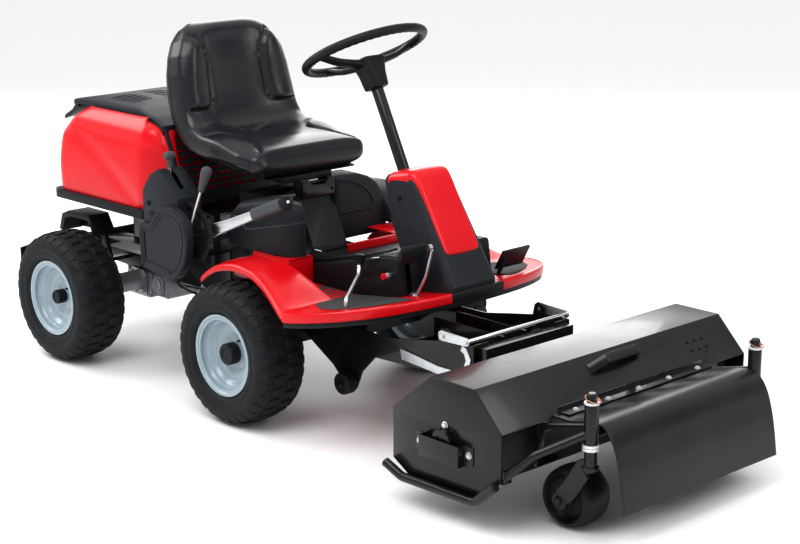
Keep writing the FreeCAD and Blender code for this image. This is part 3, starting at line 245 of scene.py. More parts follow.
def prism(outline, axis, a0, a1, bevel=1.0, segments=2):
    """An outline of two-coordinate points pushed along x, y or z from a0 to a1, with rounded edges."""
    def point(p, a):
        return {"x": (a, *p), "y": (p[0], a, p[1]), "z": (*p, a)}[axis]
    n = len(outline)
    points = [point(p, a0) for p in outline] + [point(p, a1) for p in outline]
    faces = [list(range(n)), list(range(2 * n - 1, n - 1, -1))]
    faces += [[i, (i + 1) % n, n + (i + 1) % n, n + i] for i in range(n)]
    mesh = mesh_of(points, faces)
    tidy(mesh, bevel * MM, segments)
    return mesh


def block(x0, x1, y0, y1, z0, z1, bevel=1.0):
    return prism([(x0, z0), (x1, z0), (x1, z1), (x0, z1)], "y", y0, y1, bevel)


def grid(rows, closed_u=False, closed_v=False, cap=False):
    """A sheet through rows of points; closed_v joins each row's ends, closed_u the first and last rows."""
    nu, nv = len(rows), len(rows[0])
    points = [p for row in rows for p in row]
    faces = []
    for i in range(nu if closed_u else nu - 1):
        for j in range(nv if closed_v else nv - 1):
            a, b = i * nv + j, i * nv + (j + 1) % nv
            k = (i + 1) % nu * nv
            faces.append([a, b, k + (j + 1) % nv, k + j])
    if cap:
        faces += [list(range(nv))[::-1], [(nu - 1) * nv + j for j in range(nv)]]
    return mesh_of(points, faces)


def catmull(points, steps):
    """Points along a smooth curve through the given ones."""
    p = np.array(points, float)
    ends = np.vstack([2 * p[0] - p[1], p, 2 * p[-1] - p[-2]])
    out = []
    for i in range(1, len(ends) - 2):
        a, b, c, d = ends[i - 1:i + 3]
        for k in range(steps):
            t = k / steps
            out.append(0.5 * (2 * b + (c - a) * t + (2 * a - 5 * b + 4 * c - d) * t**2
                              + (3 * b - a - 3 * c + d) * t**3))
    out.append(p[-1])
    return np.array(out)


def oval(k, n, power, half_a, half_b):
    """Point k of n on a super-ellipse, with its angle's cosine and sine: (a, b, cosine, sine)."""
    c, s = math.cos(2 * math.pi * k / n), math.sin(2 * math.pi * k / n)
    a = math.copysign(abs(c) ** (2 / power), c) * half_a
    b = math.copysign(abs(s) ** (2 / power), s) * half_b
    return a, b, c, s


def arc(x, z, r, start, end, n):
    """n points of a circle from angle start to end."""
    return [(x + r * math.cos(a), z + r * math.sin(a)) for a in np.linspace(start, end, n)]


def sweep(path, half_a, half_b=None, up=(0, 0, 1), n=16, power=2.0):
    """A bar of super-elliptic section along a path; half_a and half_b are its half sizes, one number or one
    for each point, across and along up."""
    path = [Vector(p) for p in path]
    count = len(path)
    ha = half_a if hasattr(half_a, "__len__") else [half_a] * count
    hb = ha if half_b is None else half_b if hasattr(half_b, "__len__") else [half_b] * count
    rows, lead = [], Vector(up)
    for i, p in enumerate(path):
        t = (path[min(i + 1, count - 1)] - path[max(i - 1, 0)]).normalized()
        side = t.cross(lead)
        side = side.normalized() if side.length > 1e-6 else t.orthogonal().normalized()
        top = side.cross(t)
        row = []
        for k in range(n):
            u, v = oval(k, n, power, ha[i], hb[i])[:2]
            row.append(tuple(p + side * u + top * v))
        rows.append(row)
    return grid(rows, closed_v=True, cap=True)


def rounded_path(points, bend, steps=6):
    """A polyline with its corners turned into arcs of about radius bend."""
    pts = [Vector(p) for p in points]
    out = [pts[0]]
    for a, b, c in zip(pts, pts[1:], pts[2:]):
        u, w = (a - b), (c - b)
        reach = min(bend, u.length * 0.45, w.length * 0.45)
        p, q = b + u.normalized() * reach, b + w.normalized() * reach
        for k in range(steps + 1):
            t = k / steps
            out.append((1 - t) ** 2 * p + 2 * t * (1 - t) * b + t**2 * q)
    out.append(pts[-1])
    return out


def tube(points, r, bend):
    return sweep(rounded_path(points, bend), r, up=(0.13, 0.21, 0.97))


def lathe(profile, centre, axis="y", n=72, closed=False):
    """A profile of (radius, along) points turned about the axis through centre."""
    rows = []
    for i in range(n):
        a = 2 * math.pi * i / n
        c, s = math.cos(a), math.sin(a)
        if axis == "y":
            rows.append([(centre[0] + r * c, centre[1] + h, centre[2] + r * s) for r, h in profile])
        elif axis == "z":
            rows.append([(centre[0] + r * c, centre[1] + r * s, centre[2] + h) for r, h in profile])
        else:
            rows.append([(centre[0] + h, centre[1] + r * c, centre[2] + r * s) for r, h in profile])
    return grid(rows, closed_u=True, closed_v=closed)


def pin(r, low, high, centre, axis="y", n=20):
    """A plain round bar."""
    return lathe([(LEAST, low), (r, low), (r, high), (LEAST, high)], centre, axis, n)


def collar(inner, outer, low, high, centre, axis="y", n=48, chamfer=(1.0, 1.0)):
    """A ring with its outer edges cut back by chamfer: (radius, along)."""
    r, h = outer - chamfer[0], chamfer[1]
    profile = [(inner, low), (r, low), (outer, low + h), (outer, high - h), (r, high), (inner, high)]
    return lathe(profile, centre, axis, n, closed=True)


def turned_to(mesh, origin, direction):
    """Moves a mesh made about the station origin's z axis so that it stands at origin along direction."""
    turn = Vector((0, 0, 1)).rotation_difference(Vector(direction)).to_matrix().to_4x4()
    mesh.transform(Matrix.Translation(at(*origin)) @ turn @ Matrix.Translation(-HOME))
    return mesh


def bolt(origin, direction, r, h, washer=True):
    """A hexagon bolt head with a chamfer, on a washer, standing at origin along direction."""
    parts = []
    if washer:
        parts.append(lathe([(LEAST, 0), (r * 1.25, 0), (r * 1.32, 0.4), (r * 1.32, 1.2), (r * 1.25, 1.6),
                                 (LEAST, 1.6)], (0, 0, 0), "z", 32))
    hexagon = [(r * math.cos(math.pi * k / 3), r * math.sin(math.pi * k / 3)) for k in range(6)]
    parts.append(prism(hexagon, "z", 1.4, 1.4 + h, 0.8))
    parts.append(lathe([(LEAST, h + 1.9), (r * 0.55, h + 1.9), (r * 0.8, h + 1.3), (r * 0.8, h + 0.6)],
                       (0, 0, 0), "z", 24))
    return turned_to(join(parts), origin, direction)


def applied(kind, meshes, **settings):
    """The first mesh after one modifier; a second mesh is the modifier's object."""
    objects = [bpy.data.objects.new("work", mesh) for mesh in meshes]
    for o in objects:
        bpy.context.scene.collection.objects.link(o)
    modifier = objects[0].modifiers.new("work", kind)
    if len(objects) > 1:
        modifier.object = objects[1]
    for key, value in settings.items():
        setattr(modifier, key, value)
    bpy.context.view_layer.update()
    out = bpy.data.meshes.new_from_object(objects[0].evaluated_get(bpy.context.evaluated_depsgraph_get()))
    for o in objects:
        bpy.data.objects.remove(o)
    return out


def cut_from(mesh, cutters):
    """The mesh with the cutters' volume taken away."""
    return applied("BOOLEAN", [mesh, join(cutters)], operation="DIFFERENCE", solver="EXACT")


def thicken(mesh, t):
    """The sheet as a closed solid, t millimetres thick."""
    return applied("SOLIDIFY", [mesh], thickness=t * MM, offset=-1.0)


# ---------------------------------------------------------------- wheels
TYRE_R = 203.5
WHEELBASE = 852
WHEEL_Y = 366
LUGS = 32                               # lugs in each row, around the tyre
LUG_ROWS = [(9, 43, 12.3, 3, 0.0), (-43, -9, 12.3, 3, 0.5), (61, 97, 11.8, 4, 0.5), (-97, -61, 11.8, -4, 0.0)]
TREAD = [(0, 203.3), (22, 202.6), (43, 200.8), (56, 198.2), (66, 194.2), (73, 188.5), (78, 181), (81.5, 170)]
CARCASS = [(102.5, -66.2), (113, -66.4), (119.6, -67.2), (123, -70.5), (126, -75), (133, -79.5), (143, -81.2),
           (145.5, -80), (148, -81.4), (160, -82.4), (170, -81.4), (179, -77.6), (187, -71), (192.4, -62),
           (195.6, -50), (197.2, -30), (197.8, -10)]


def tread_point(s):
    """(across, radius, normal across, normal radius) at arc length s from the tread's middle."""
    sign, s = (1 if s >= 0 else -1), abs(s)
    run = 0.0
    for (y0, r0), (y1, r1) in zip(TREAD, TREAD[1:]):
        step = math.hypot(y1 - y0, r1 - r0)
        if run + step >= s or (y1, r1) == TREAD[-1]:
            t = (s - run) / step
            ny, nr = (r0 - r1) / step, (y1 - y0) / step
            return sign * (y0 + (y1 - y0) * t), r0 + (r1 - r0) * t, sign * ny, nr
        run += step


def lug(theta, s0, s1, half, skew, points, faces):
    """Adds one tread block: a chamfered top on the tread surface, its sides going down into the carcass."""
    nu, nv = 4, 3
    base = len(points)

    def ring_point(u, v, grow, sink):
        s = s0 + (s1 - s0) * u + (u * 2 - 1) * grow
        y, r, ny, nr = tread_point(s)
        a = theta + (skew * (u - 0.5) + (v * 2 - 1) * (half + grow)) / TYRE_R
        y, r = y - ny * sink, r - nr * sink
        return (r * math.cos(a), y, r * math.sin(a))
    for i in range(nu + 1):
        for j in range(nv + 1):
            points.append(ring_point(i / nu, j / nv, -1.4, 0.0))
    for i in range(nu):
        for j in range(nv):
            a = base + i * (nv + 1) + j
            faces.append([a, a + 1, a + nv + 2, a + nv + 1])
    loop = [(0, j) for j in range(nv)] + [(i, nv) for i in range(nu)]
    loop += [(nu, j) for j in range(nv, 0, -1)] + [(i, 0) for i in range(nu, 0, -1)]
    previous = [base + i * (nv + 1) + j for i, j in loop]
    for grow, sink in ((0.0, 1.2), (1.0, 7.2)):
        start = len(points)
        for i, j in loop:
            points.append(ring_point(i / nu, j / nv, grow, sink))
        now = [start + k for k in range(len(loop))]
        for k in range(len(loop)):
            k1 = (k + 1) % len(loop)
            faces.append([previous[k], now[k], now[k1], previous[k1]])
        previous = now


def tyre_mesh():
    """The tyre about the station origin, its outer side towards -y."""
    outer = CARCASS + [(197.9, 0)] + [(r, -h) for r, h in CARCASS[::-1]]
    bead = [(102.5, 52), (116, 58), (150, 72), (180, 64), (190, 40)]
    inner = bead + [(191.5, 0)] + [(r, -h) for r, h in bead[::-1]]
    points, faces = [], []
    for s0, s1, half, skew, phase in LUG_ROWS:
        for k in range(LUGS):
            lug(2 * math.pi * (k + phase) / LUGS, s0, s1, half, skew, points, faces)
    return join([lathe(outer + inner, (0, 0, 0), n=96, closed=True), mesh_of(points, faces)])


def rim_mesh():
    """The pressed wheel about the station origin, its outer side towards -y."""
    front = [(118, -69.5), (117.6, -71), (114, -71.6), (110, -70.4), (107, -66.5), (104.6, -60), (101.8, -56),
             (99.5, -48), (97.2, -45.6), (94.2, -45), (90, -41), (84.5, -34.5), (81.5, -31), (78, -29.6),
             (70, -31), (60, -29), (52, -24.5), (44, -21.5), (36, -21.5), (30, -23.5), (21.5, -24)]
    hub = [(21.5, -38), (20, -40), (13.6, -40), (12.9, -39), (12.9, 41), (14, 42), (20, 42), (21.5, 40),
           (21.5, -18)]
    back = [(30, -17.5), (60, -24), (72, -26), (77, -25), (80, -20), (80, 28), (84, 36), (96.5, 45), (97.4, 56),
            (98, 68), (101, 70.6), (110, 71), (117, 71), (118, 69.5), (117.5, 67.2), (112, 66.9), (101.5, 66.9),
            (101.5, 45), (84, 33), (84, -33), (101.5, -45), (101.5, -66.9), (112, -66.9), (117.5, -67.2)]
    return lathe(front + hub + back, (0, 0, 0), n=96, closed=True)


def cap_mesh(r):
    profile = [(LEAST, -54.5), (r * 0.42, -54.5), (r * 0.5, -54), (r * 0.56, -56.2), (r * 0.8, -57),
               (r * 0.93, -55.8), (r, -52.5), (r, -27), (r * 0.97, -25.5), (r * 0.8, -25)]
    return lathe(profile, (0, 0, 0), n=56)


def valve_mesh():
    path = [(86, -44, 0), (86, -53, 0), (85, -61, 0), (84.6, -66, 0)]
    return sweep(path, [4.2, 3.4, 3.0, 3.2], up=(1, 0, 0), n=14)


def make_wheels():
    """Four wheels, each with its tyre, rim, hub cap and valve; the valves stand at different angles."""
    tyre, rim = tyre_mesh(), rim_mesh()
    for name, x, side, cap, turn in (("front_right", WHEELBASE, -1, 31, 40),
                                     ("front_left", WHEELBASE, 1, 31, 200),
                                     ("rear_right", 0, -1, 22, 30), ("rear_left", 0, 1, 22, 120)):
        there = Matrix.Translation(at(x, side * WHEEL_Y, TYRE_R)) @ Matrix.Diagonal((1, -side, 1, 1)) @ \
            Matrix.Rotation(math.radians(-turn), 4, "Y") @ Matrix.Translation(-HOME)
        for kind, source, slot, stands_for in (("tyre", tyre, "tyre_rubber", [f"{name}_tyre"]),
                                               ("rim", rim, "rim_paint", [f"{name}_rim"]),
                                               ("cap", cap_mesh(cap), "black_plastic", []),
                                               ("valve", valve_mesh(), "black_plastic", [])):
            mesh = source.copy()
            mesh.transform(there)
            if side > 0:
                mesh.flip_normals()
            place(f"{name}_{kind}_shown", mesh, f"{name}_wheel", slot, None, stands_for, math.radians(40))


# ---------------------------------------------------------------- seat
def seat_line():
    """Middle line of the pad in the machine's middle plane as (x, z, half thickness), front lip to the top."""
    stations = [(758, 690, 39), (736, 690, 45), (694, 696, 46), (636, 702, 43), (556, 706, 41), (486, 713, 42),
                (428, 734, 47), (389, 776, 52), (367, 830, 54), (353, 882, 55), (342, 942, 53), (331, 994, 49),
                (321, 1035, 42), (313, 1058, 30)]
    return catmull(stations, 7)


def seat_half_width(s):
    """Half width at share s of the way from the front lip to the top of the backrest."""
    return graph(s, [0.0, 0.05, 0.12, 0.3, 0.45, 0.56, 0.68, 0.78, 0.86, 0.92, 0.97, 1.0],
                 [200, 218, 228, 229, 225, 221, 219, 212, 199, 180, 150, 118])


SEAT_LENGTH = 860
SEAT_HALF = 222
SEAT_RINGS, SEAT_SIDES = 210, 168
# Creases in the padding as (share of the seat's length, share of its half width).
BACK_CREASE = [(0.606, 0.88), (0.597, 0.76), (0.598, 0.64), (0.612, 0.55), (0.645, 0.50), (0.70, 0.475),
               (0.77, 0.475), (0.83, 0.50), (0.875, 0.56), (0.91, 0.66), (0.935, 0.78), (0.945, 0.88)]
PAD_CREASE = [(0.375, 0.98), (0.345, 0.82), (0.315, 0.66), (0.285, 0.585), (0.25, 0.585), (0.20, 0.62),
              (0.15, 0.665), (0.105, 0.72), (0.07, 0.79), (0.055, 0.85)]


def crease_distance(line, s, a):
    """Distance in millimetres from a point of the padding to a crease line of (share, side share) points."""
    best = 1e9
    for (s0, a0), (s1, a1) in zip(line, line[1:]):
        ex, ey = (s1 - s0) * SEAT_LENGTH, (a1 - a0) * SEAT_HALF
        px, py = (s - s0) * SEAT_LENGTH, (a - a0) * SEAT_HALF
        t = min(1.0, max(0.0, (px * ex + py * ey) / (ex * ex + ey * ey)))
        best = min(best, math.hypot(px - ex * t, py - ey * t))
    return best


def seat_relief(s, c):
    """How far the padding stands above its middle line's thickness, at share s and side share c."""
    a = abs(c)
    bolster = 19 * smooth_step((a - 0.40) / 0.42)
    bolster *= smooth_step((s - 0.10) / 0.2) * (1 - smooth_step((s - 0.88) / 0.12))
    dish = -13 * (1 - smooth_step((a - 0.1) / 0.55))
    dish *= smooth_step((s - 0.16) / 0.2) * (1 - smooth_step((s - 0.9) / 0.1))
    creases = 0.0
    if 0.55 < s < 0.99:
        d = crease_distance(BACK_CREASE, s, a)
        creases += 8.5 * math.exp(-((d / 6.5) ** 2))
        inner = graph(s, [0.60, 0.612, 0.645, 0.70, 0.77, 0.83, 0.875, 0.91, 0.945],
                      [0.64, 0.55, 0.50, 0.475, 0.475, 0.50, 0.56, 0.66, 0.88])
        if a > inner and 0.60 < s < 0.945:
            creases -= 5 * smooth_step(d / 26) * (1 - smooth_step((a - 0.80) / 0.16))
    if s < 0.42:
        d = crease_distance(PAD_CREASE, s, a)
        creases += 7.5 * math.exp(-((d / 6.0) ** 2)) * (1 - smooth_step((a - 0.86) / 0.12))
    drain = 26 * math.exp(-(((s - 0.435) / 0.024) ** 4 + (c / 0.17) ** 4))
    return bolster + dish - creases - drain


def make_seat():
    """The one-piece moulded pad, lofted along its middle line, with a piping along each side."""
    line = seat_line()
    lengths = np.concatenate([[0], np.cumsum(np.hypot(*(line[1:, :2] - line[:-1, :2]).T))])
    shares = lengths / lengths[-1]
    near = 0.004
    rows = []
    for i in range(SEAT_RINGS + 1):
        s = i / SEAT_RINGS
        x, z, half = (graph(s, shares, line[:, k]) for k in range(3))
        dx, dz = (graph(min(s + near, 1), shares, line[:, k]) - graph(max(s - near, 0), shares, line[:, k])
                  for k in range(2))
        size = math.hypot(dx, dz)
        nx, nz = dz / size, -dx / size
        if (s < 0.5 and nx * 0.5 + nz < 0) or (s >= 0.5 and nx < 0):
            nx, nz = -nx, -nz
        close = min(rounding(s / 0.045), rounding((1 - s) / 0.05))
        width = seat_half_width(s) * (0.9 + 0.1 * close)
        row = []
        for k in range(SEAT_SIDES):
            side = oval(k, SEAT_SIDES, 4.6, 1, 1)[0]
            lift = oval(k, SEAT_SIDES, 3.0, 1, 1)[1]
            grow = half * close * lift
            if lift > 0:
                grow += seat_relief(s, side) * close * smooth_step(lift / 0.5)
            else:
                grow *= 0.92
            row.append((x + nx * grow, side * width, z + nz * grow))
        rows.append(row)
    pad = grid(rows, closed_v=True, cap=True)
    place("seat_pad", pad, "seat", "seat_vinyl", None, ["seat_cushion"], math.radians(60))
    edge = [Vector(row[0]) * 0.5 + Vector(row[-1]) * 0.5 for row in rows[7:SEAT_RINGS - 5]]
    piping = [sweep([(p.x, side * (p.y - 0.6), p.z) for p in edge], 1.7, n=8, up=(0, 1, 0)) for side in (1, -1)]
    place("seat_seam", join(piping), "seat", "seat_vinyl")


# ---------------------------------------------------------------- steering wheel
STEER_TILT = math.radians(26.6)
STEER_U = Vector((-math.sin(STEER_TILT), 0, math.cos(STEER_TILT)))
STEER_CENTRE = Vector((1134, 0, 711)) + STEER_U * 355
STEER_R = 171


def make_steering():
    """The ring with its finger grips, three spokes and the boxed hub below."""
    across = Vector((STEER_U.z, 0, -STEER_U.x))
    side = Vector((0, 1, 0))
    count, n, grips = 288, 24, 48
    rows = []
    for i in range(count):
        a = 2 * math.pi * i / count
        out = across * math.cos(a) + side * math.sin(a)
        row = []
        for k in range(n):
            c, s = oval(k, n, 2, 1, 1)[2:]
            under = max(0.0, -0.75 * c - 0.55 * s - 0.15)
            r = 12.9 - 1.9 * under * (0.5 + 0.5 * math.cos(a * grips)) ** 2 + 0.2 * under
            row.append(tuple(STEER_CENTRE + out * (STEER_R + r * c) + STEER_U * r * s))
        rows.append(row)
    parts = [grid(rows, closed_u=True, closed_v=True)]
    for angle in (90, 180, 270):
        d = across * math.cos(math.radians(angle)) + side * math.sin(math.radians(angle))
        path = catmull([tuple(STEER_CENTRE + d * r - STEER_U * h) for r, h in
                        ((16, 40), (40, 37), (70, 31), (105, 24), (135, 14), (158, 4), (168, 1))], 4)
        last = len(path) - 1
        wide = [graph(i / last, [0, 0.3, 0.7, 0.9, 1], [24, 17, 13, 15, 19]) for i in range(last + 1)]
        thick = [graph(i / last, [0, 0.3, 0.7, 1], [14, 9, 8, 9]) for i in range(last + 1)]
        parts.append(sweep(path, wide, thick, up=tuple(STEER_U), n=20, power=3.2))
    place("steering_ring", join(parts), "steering", "black_plastic", None, ["steering_wheel"])
    hub = []
    for h, half_side, half_across in ((-112, 26, 25), (-108, 28.5, 27.5), (-70, 32, 30), (-44, 38, 34),
                                      (-30, 41, 36), (-26, 39.5, 34.5), (-24.5, 36, 31)):
        corners = [oval(k, 40, 5.0, half_side, half_across)[:2] for k in range(40)]
        hub.append([tuple(STEER_CENTRE + STEER_U * h + side * u + across * v) for u, v in corners])
    place("steering_hub", grid(hub, closed_v=True, cap=True), "steering", "black_plastic")


# ---------------------------------------------------------------- hood
def hood_ring(z):
    """(rear x, front x, half width) of the hood's plan at a height."""
    rear = graph(z, [515, 600, 690, 735, 766, 787, 800], [-147, -152, -137, -102, -62, -20, 30])
    front = graph(z, [515, 640, 754, 788, 800], [402, 398, 350, 240, 130])
    half = graph(z, [515, 560, 640, 700, 735, 760, 780, 792, 800],
                 [299, 300, 299, 295, 287, 275, 258, 244, 225])
    return rear, front, half


def hood_crease(x, z):
    """The side panel's soft step along a line that falls from the rear top to the front bottom."""
    d = z - graph(x, [-150, -60, 40, 140, 230, 300], [742, 722, 684, 630, 572, 520])
    return -4.5 * math.exp(-((d / 26) ** 2)) * (1 if d < 0 else math.exp(-((d / 9) ** 2)))


def make_hood():
    """The red shell: one open sheet round the rear and both sides, thickened and smoothed."""
    corner = 46
    rows = []
    for z in (515, 516.5, 520, 530, 550, 575, 600, 625, 650, 675, 695, 712, 727, 740, 752, 762, 771, 779, 785):
        rear, front, half = hood_ring(z)
        lip = 1.5 if z < 516 else 0.0
        plan = []
        for k in range(9):
            a = math.pi / 2 * k / 8
            plan.append((rear + corner * (1 - math.cos(a)) + lip, half - corner * (1 - math.sin(a)) - lip))
        plan += [(float(x), half - lip) for x in np.linspace(rear + corner + 18, 300, 22)]
        plan += [(min(x, front - 8), half - 58 * t - lip) for x, t in ((318, 0.10), (340, 0.33), (362, 0.62),
                                                                      (384, 0.9))]
        plan += [(front, half - 62), (front, half - 80)]
        row = [(x, -(y + (hood_crease(x, z) if i else 0)), z) for i, (x, y) in enumerate(plan)]
        rows.append([(x, -y, z2) for x, y, z2 in row[::-1]] + row)
    skin = place("hood_skin", grid(rows), "hood", "red_plastic", None, ["hood_shell"], math.radians(38))
    thick = skin.modifiers.new("thick", "SOLIDIFY")
    thick.thickness, thick.offset = 3.5 * MM, 1.0
    smooth = skin.modifiers.new("smooth", "SUBSURF")
    smooth.levels = smooth.render_levels = 1


HOOD_TOP_HALF = 246


def hood_top_z(x, y):
    """Height of the black hood cover's top."""
    base = graph(x, [-112, -60, 0, 60, 140, 230, 300, 351], [797, 806, 811, 814, 812, 801, 785, 766])
    return min(base, 816 - 16 * (abs(y) / HOOD_TOP_HALF) ** 2.2)


def make_hood_top():
    """The black cover with its louvre slots and ribs, its rear lip, and a dark bed under the slots."""
    rows = []
    for x in np.linspace(-112, 351, 40):
        edge = hood_top_z(x, -HOOD_TOP_HALF)
        row = [(x, y - HOOD_TOP_HALF, edge - drop) for y, drop in ((0, 17), (0, 6), (1.5, 2))]
        row += [(x, y, hood_top_z(x, y)) for y in np.linspace(-HOOD_TOP_HALF, HOOD_TOP_HALF, 45)[1:-1]]
        row += [(x, -a, b) for _, a, b in row[2::-1]]
        rows.append(row)
    last = len(rows[0]) - 3
    rear = [(x - 1, y, z - 20 if 2 < i < last else min(z, 790)) for i, (x, y, z) in enumerate(rows[0])]
    front = [(x + 1, y, z - 16) for x, y, z in rows[-1]]
    solid = thicken(grid([rear] + rows + [front]), 4)
    cutters, ribs, r = [], [], 4.5
    for x in range(18, 127, 27):
        for y0, y1 in ((-196, -118), (-72, 2), (44, 118), (150, 206)):
            slot = arc(x + r, y0 + r, r, 0, -math.pi, 7) + arc(x + r, y1 - r, r, math.pi, 0, 7)
            cutters.append(prism(slot, "z", 760, 840, 0))
            middle = (y0 + y1) / 2
            path = [(x - 3, y0 + 3, hood_top_z(x, y0) - 1.5), (x - 3, middle, hood_top_z(x, middle) - 1.2),
                    (x - 3, y1 - 3, hood_top_z(x, y1) - 1.5)]
            ribs.append(sweep(catmull(path, 5), 4.2, 2.6, n=10))
    section = [(-204, 729), (-203, 741), (-160, 764), (-122, 784), (-109, 791), (-108, 778), (-120, 766),
               (-160, 748)]
    lip = []
    for y in np.linspace(-240, 240, 25):
        pull = 26 * (abs(y) / 240) ** 3
        lip.append([(x + pull * (1 if x < -150 else 0.3), y, z - 4 * (abs(y) / 240) ** 2) for x, z in section])
    whole = join([cut_from(solid, cutters)] + ribs + [grid(lip, closed_v=True, cap=True)])
    place("hood_cover", whole, "hood", "grey_plastic", None, ["hood_top"], math.radians(35))
    bed = prism([(-10, 785), (165, 785), (165, 788), (-10, 788)], "y", -210, 210, 0.5)
    place("hood_louvre_bed", bed, "hood", "black_plastic")


# ---------------------------------------------------------------- hood front
def make_hood_front():
    """The black grille that closes the hood behind the seat, and the trim round it."""
    line = [(344, 756), (350, 752), (396, 640), (399, 560), (399, 519)]

    def sheet(near, far, half, bevel):
        faces = [[(x - back, z - down) for x, z in line] for back, down in (near, far)]
        return prism(faces[0] + faces[1][::-1], "y", -half, half, bevel)
    holes = []
    for z in range(728, 567, -20):
        x = graph(z, [519, 560, 640, 752], [399, 399, 396, 350])
        holes += [block(x - 22, x + 14, y - 20, y + 20, z - 5, z + 5, 0) for y in range(-200, 201, 50)]
    place("hood_grille", cut_from(sheet((0, 0), (4, 1), 230, 0.5), holes), "hood", "grey_plastic")
    place("hood_grille_lining", sheet((16, 3), (18, 3), 228, 0.3), "hood", "red_plastic")
    trims = []
    for side in (-1, 1):
        path = [(346, side * 233, 759), (352, side * 235, 751), (398, side * 236, 641), (401, side * 236, 560),
                (401, side * 236, 520)]
        trims.append(sweep(catmull(path, 6), 7, 3.5, up=(1, 0, 0.3), power=4))
    place("hood_trim", join(trims), "hood", "grey_plastic")


# ---------------------------------------------------------------- footplate
def floor_z(x):
    """Height of the floor: flat, then a ramp from station 1130 forward."""
    return 386 + max(0.0, x - 1130) * 44 / 299


PAN_Z = 386
TUNNEL_Y = 178.4
FENDER_Y = 262                          # inner side of the fenders
PEDAL_SLOTS = [(1313, -140), (1254, -330), (1318, 182)]
FRONT_EDGE = [(1140, 456), (1176, 452), (1215, 443), (1262, 422), (1305, 392), (1341, 356), (1370, 312),
              (1392, 260), (1408, 205), (1418, 152), (1424, 100), (1428, 50), (1429, 0)]
FENDER_TOP = [(693, 401), (710, 415), (731, 429), (760, 444), (790, 453), (822, 459), (853, 461), (890, 460),
              (926, 457), (962, 448), (997, 437), (1030, 425), (1060, 413), (1086, 402), (1110, 393),
              (1126, 388.5), (1140, 387.4)]
RIM_SECTION = [(-11, 0.4), (-6, 0.8), (-2.5, 0.2), (-0.6, -2.2), (0, -6), (0, -21), (-0.8, -24.5), (-3, -26),
               (-6, -25.4), (-6.4, -21), (-3.6, -18), (-3.6, -6), (-6, -2.8), (-11, -3)]


def fender_lip(x):
    return graph(x, [600, 870, 940, 1000, 1050, 1090, 1120, 1140], [381, 381, 391, 404, 420, 436, 448, 456])


def fender_half():
    """The right half's fender with its folded lip, its inner wall, and the riser and ledge of the footwell."""
    top = catmull(FENDER_TOP, 4)
    rows = []
    for x, z in top:
        lip = fender_lip(x)
        crown = 5.0 * (1 - smooth_step((x - 1040) / 90))
        row = [(x, FENDER_Y + (lip - 16 - FENDER_Y) * k / 12, z - crown * abs((k / 12 - 0.45) / 0.55) ** 2.5)
               for k in range(13)]
        z1 = row[-1][2]
        row += [(x, lip - inward, z1 - drop) for inward, drop in ((10, 0.8), (5, 2.4), (2, 5), (0, 9), (0, 17),
                                                                 (1, 21), (4, 22))]
        rows.append(row)
    wall = [(700, 380), (702, 407)] + [(float(x), float(z) - 1) for x, z in top if x > 708]
    wall += [(1140, 383), (1140, 376), (946, 376), (790, 372), (746, 376)]
    riser = [(TUNNEL_Y, 382), (266, 382), (266, 465), (TUNNEL_Y, 465)]
    return join([thicken(grid(rows), 3.2), prism(wall, "y", FENDER_Y, FENDER_Y + 3, 0.4),
                 prism(riser, "x", 946, 950, 1.2), block(790, 950, TUNNEL_Y, 266, 461, 465, 1.2),
                 block(790, 950, FENDER_Y, 266, 356, 464)])


def make_footplate():
    """The pressed footplate: two fenders, the flat pan, the ramp, its rolled rim and what hangs below."""
    edge = [(float(x), float(y)) for x, y in catmull(FRONT_EDGE, 3)]
    rim = [(x, -y) for x, y in edge] + edge[-2::-1]
    plan = [(1130, -FENDER_Y), (1140, -FENDER_Y)] + [(x - 6 * (x > 1150), y * 0.988) for x, y in rim]
    plan += [(1140, FENDER_Y), (1130, FENDER_Y)]
    n = len(plan)
    points = [(x, y, floor_z(x) - t) for t in (0, 4) for x, y in plan]
    faces = [list(range(n)), list(range(2 * n - 1, n - 1, -1))]
    faces += [[i, (i + 1) % n, n + (i + 1) % n, n + i] for i in range(n)]
    slots = [block(x - 22, x + 36, y - 9, y + 9, 340, 480, 0) for x, y in PEDAL_SLOTS]
    ring = []
    for i, (x, y) in enumerate(rim):
        x0, y0 = rim[max(i - 1, 0)]
        x1, y1 = rim[min(i + 1, len(rim) - 1)]
        size = math.hypot(x1 - x0, y1 - y0)
        nx, ny = (y1 - y0) / size, -(x1 - x0) / size
        ring.append([(x + nx * o, y + ny * o, floor_z(x) + h) for o, h in RIM_SECTION])
    middle = [i for i, (x, y) in enumerate(rim) if abs(y) <= 101]
    first, last = middle[0], middle[-1]
    right, nose, left = (grid(r, closed_v=True, cap=True) for r in (ring[:first + 1], ring[first:last + 1],
                                                                   ring[last:]))
    half = fender_half()
    pan = block(946, 1130.4, -FENDER_Y, FENDER_Y, 382, PAN_Z, 0.3)
    whole = join([half, mirrored(half), pan, cut_from(mesh_of(points, faces), slots), right, left])
    place("footplate_shell", whole, "front_frame", "red_paint", None, ["footplate"])
    place("footplate_nose", nose, "front_frame", "black_plastic")
    skirt = []
    for row in ring:
        a, b = Vector(row[5]), Vector(row[9])
        d = b - a
        d.z = 0
        d = d.normalized()
        p = a + d * 5
        skirt.append([tuple(p + d * o + Vector((0, 0, h))) for o, h in ((0, 0), (0, -16), (3, -20), (6, -20),
                                                                      (6, 0))])
    under = [grid(skirt, closed_v=True, cap=True)]
    for x, y in PEDAL_SLOTS:
        z = floor_z(x) - 14
        under += [block(x - 8, x + 8, e, e + 4, z - 8, floor_z(x - 8) - 3, 0.6) for e in (y - 13, y + 9)]
        under.append(pin(4, -13, 13, (x, y, z)))
    place("footplate_under", join(under), "front_frame", "black_plastic")


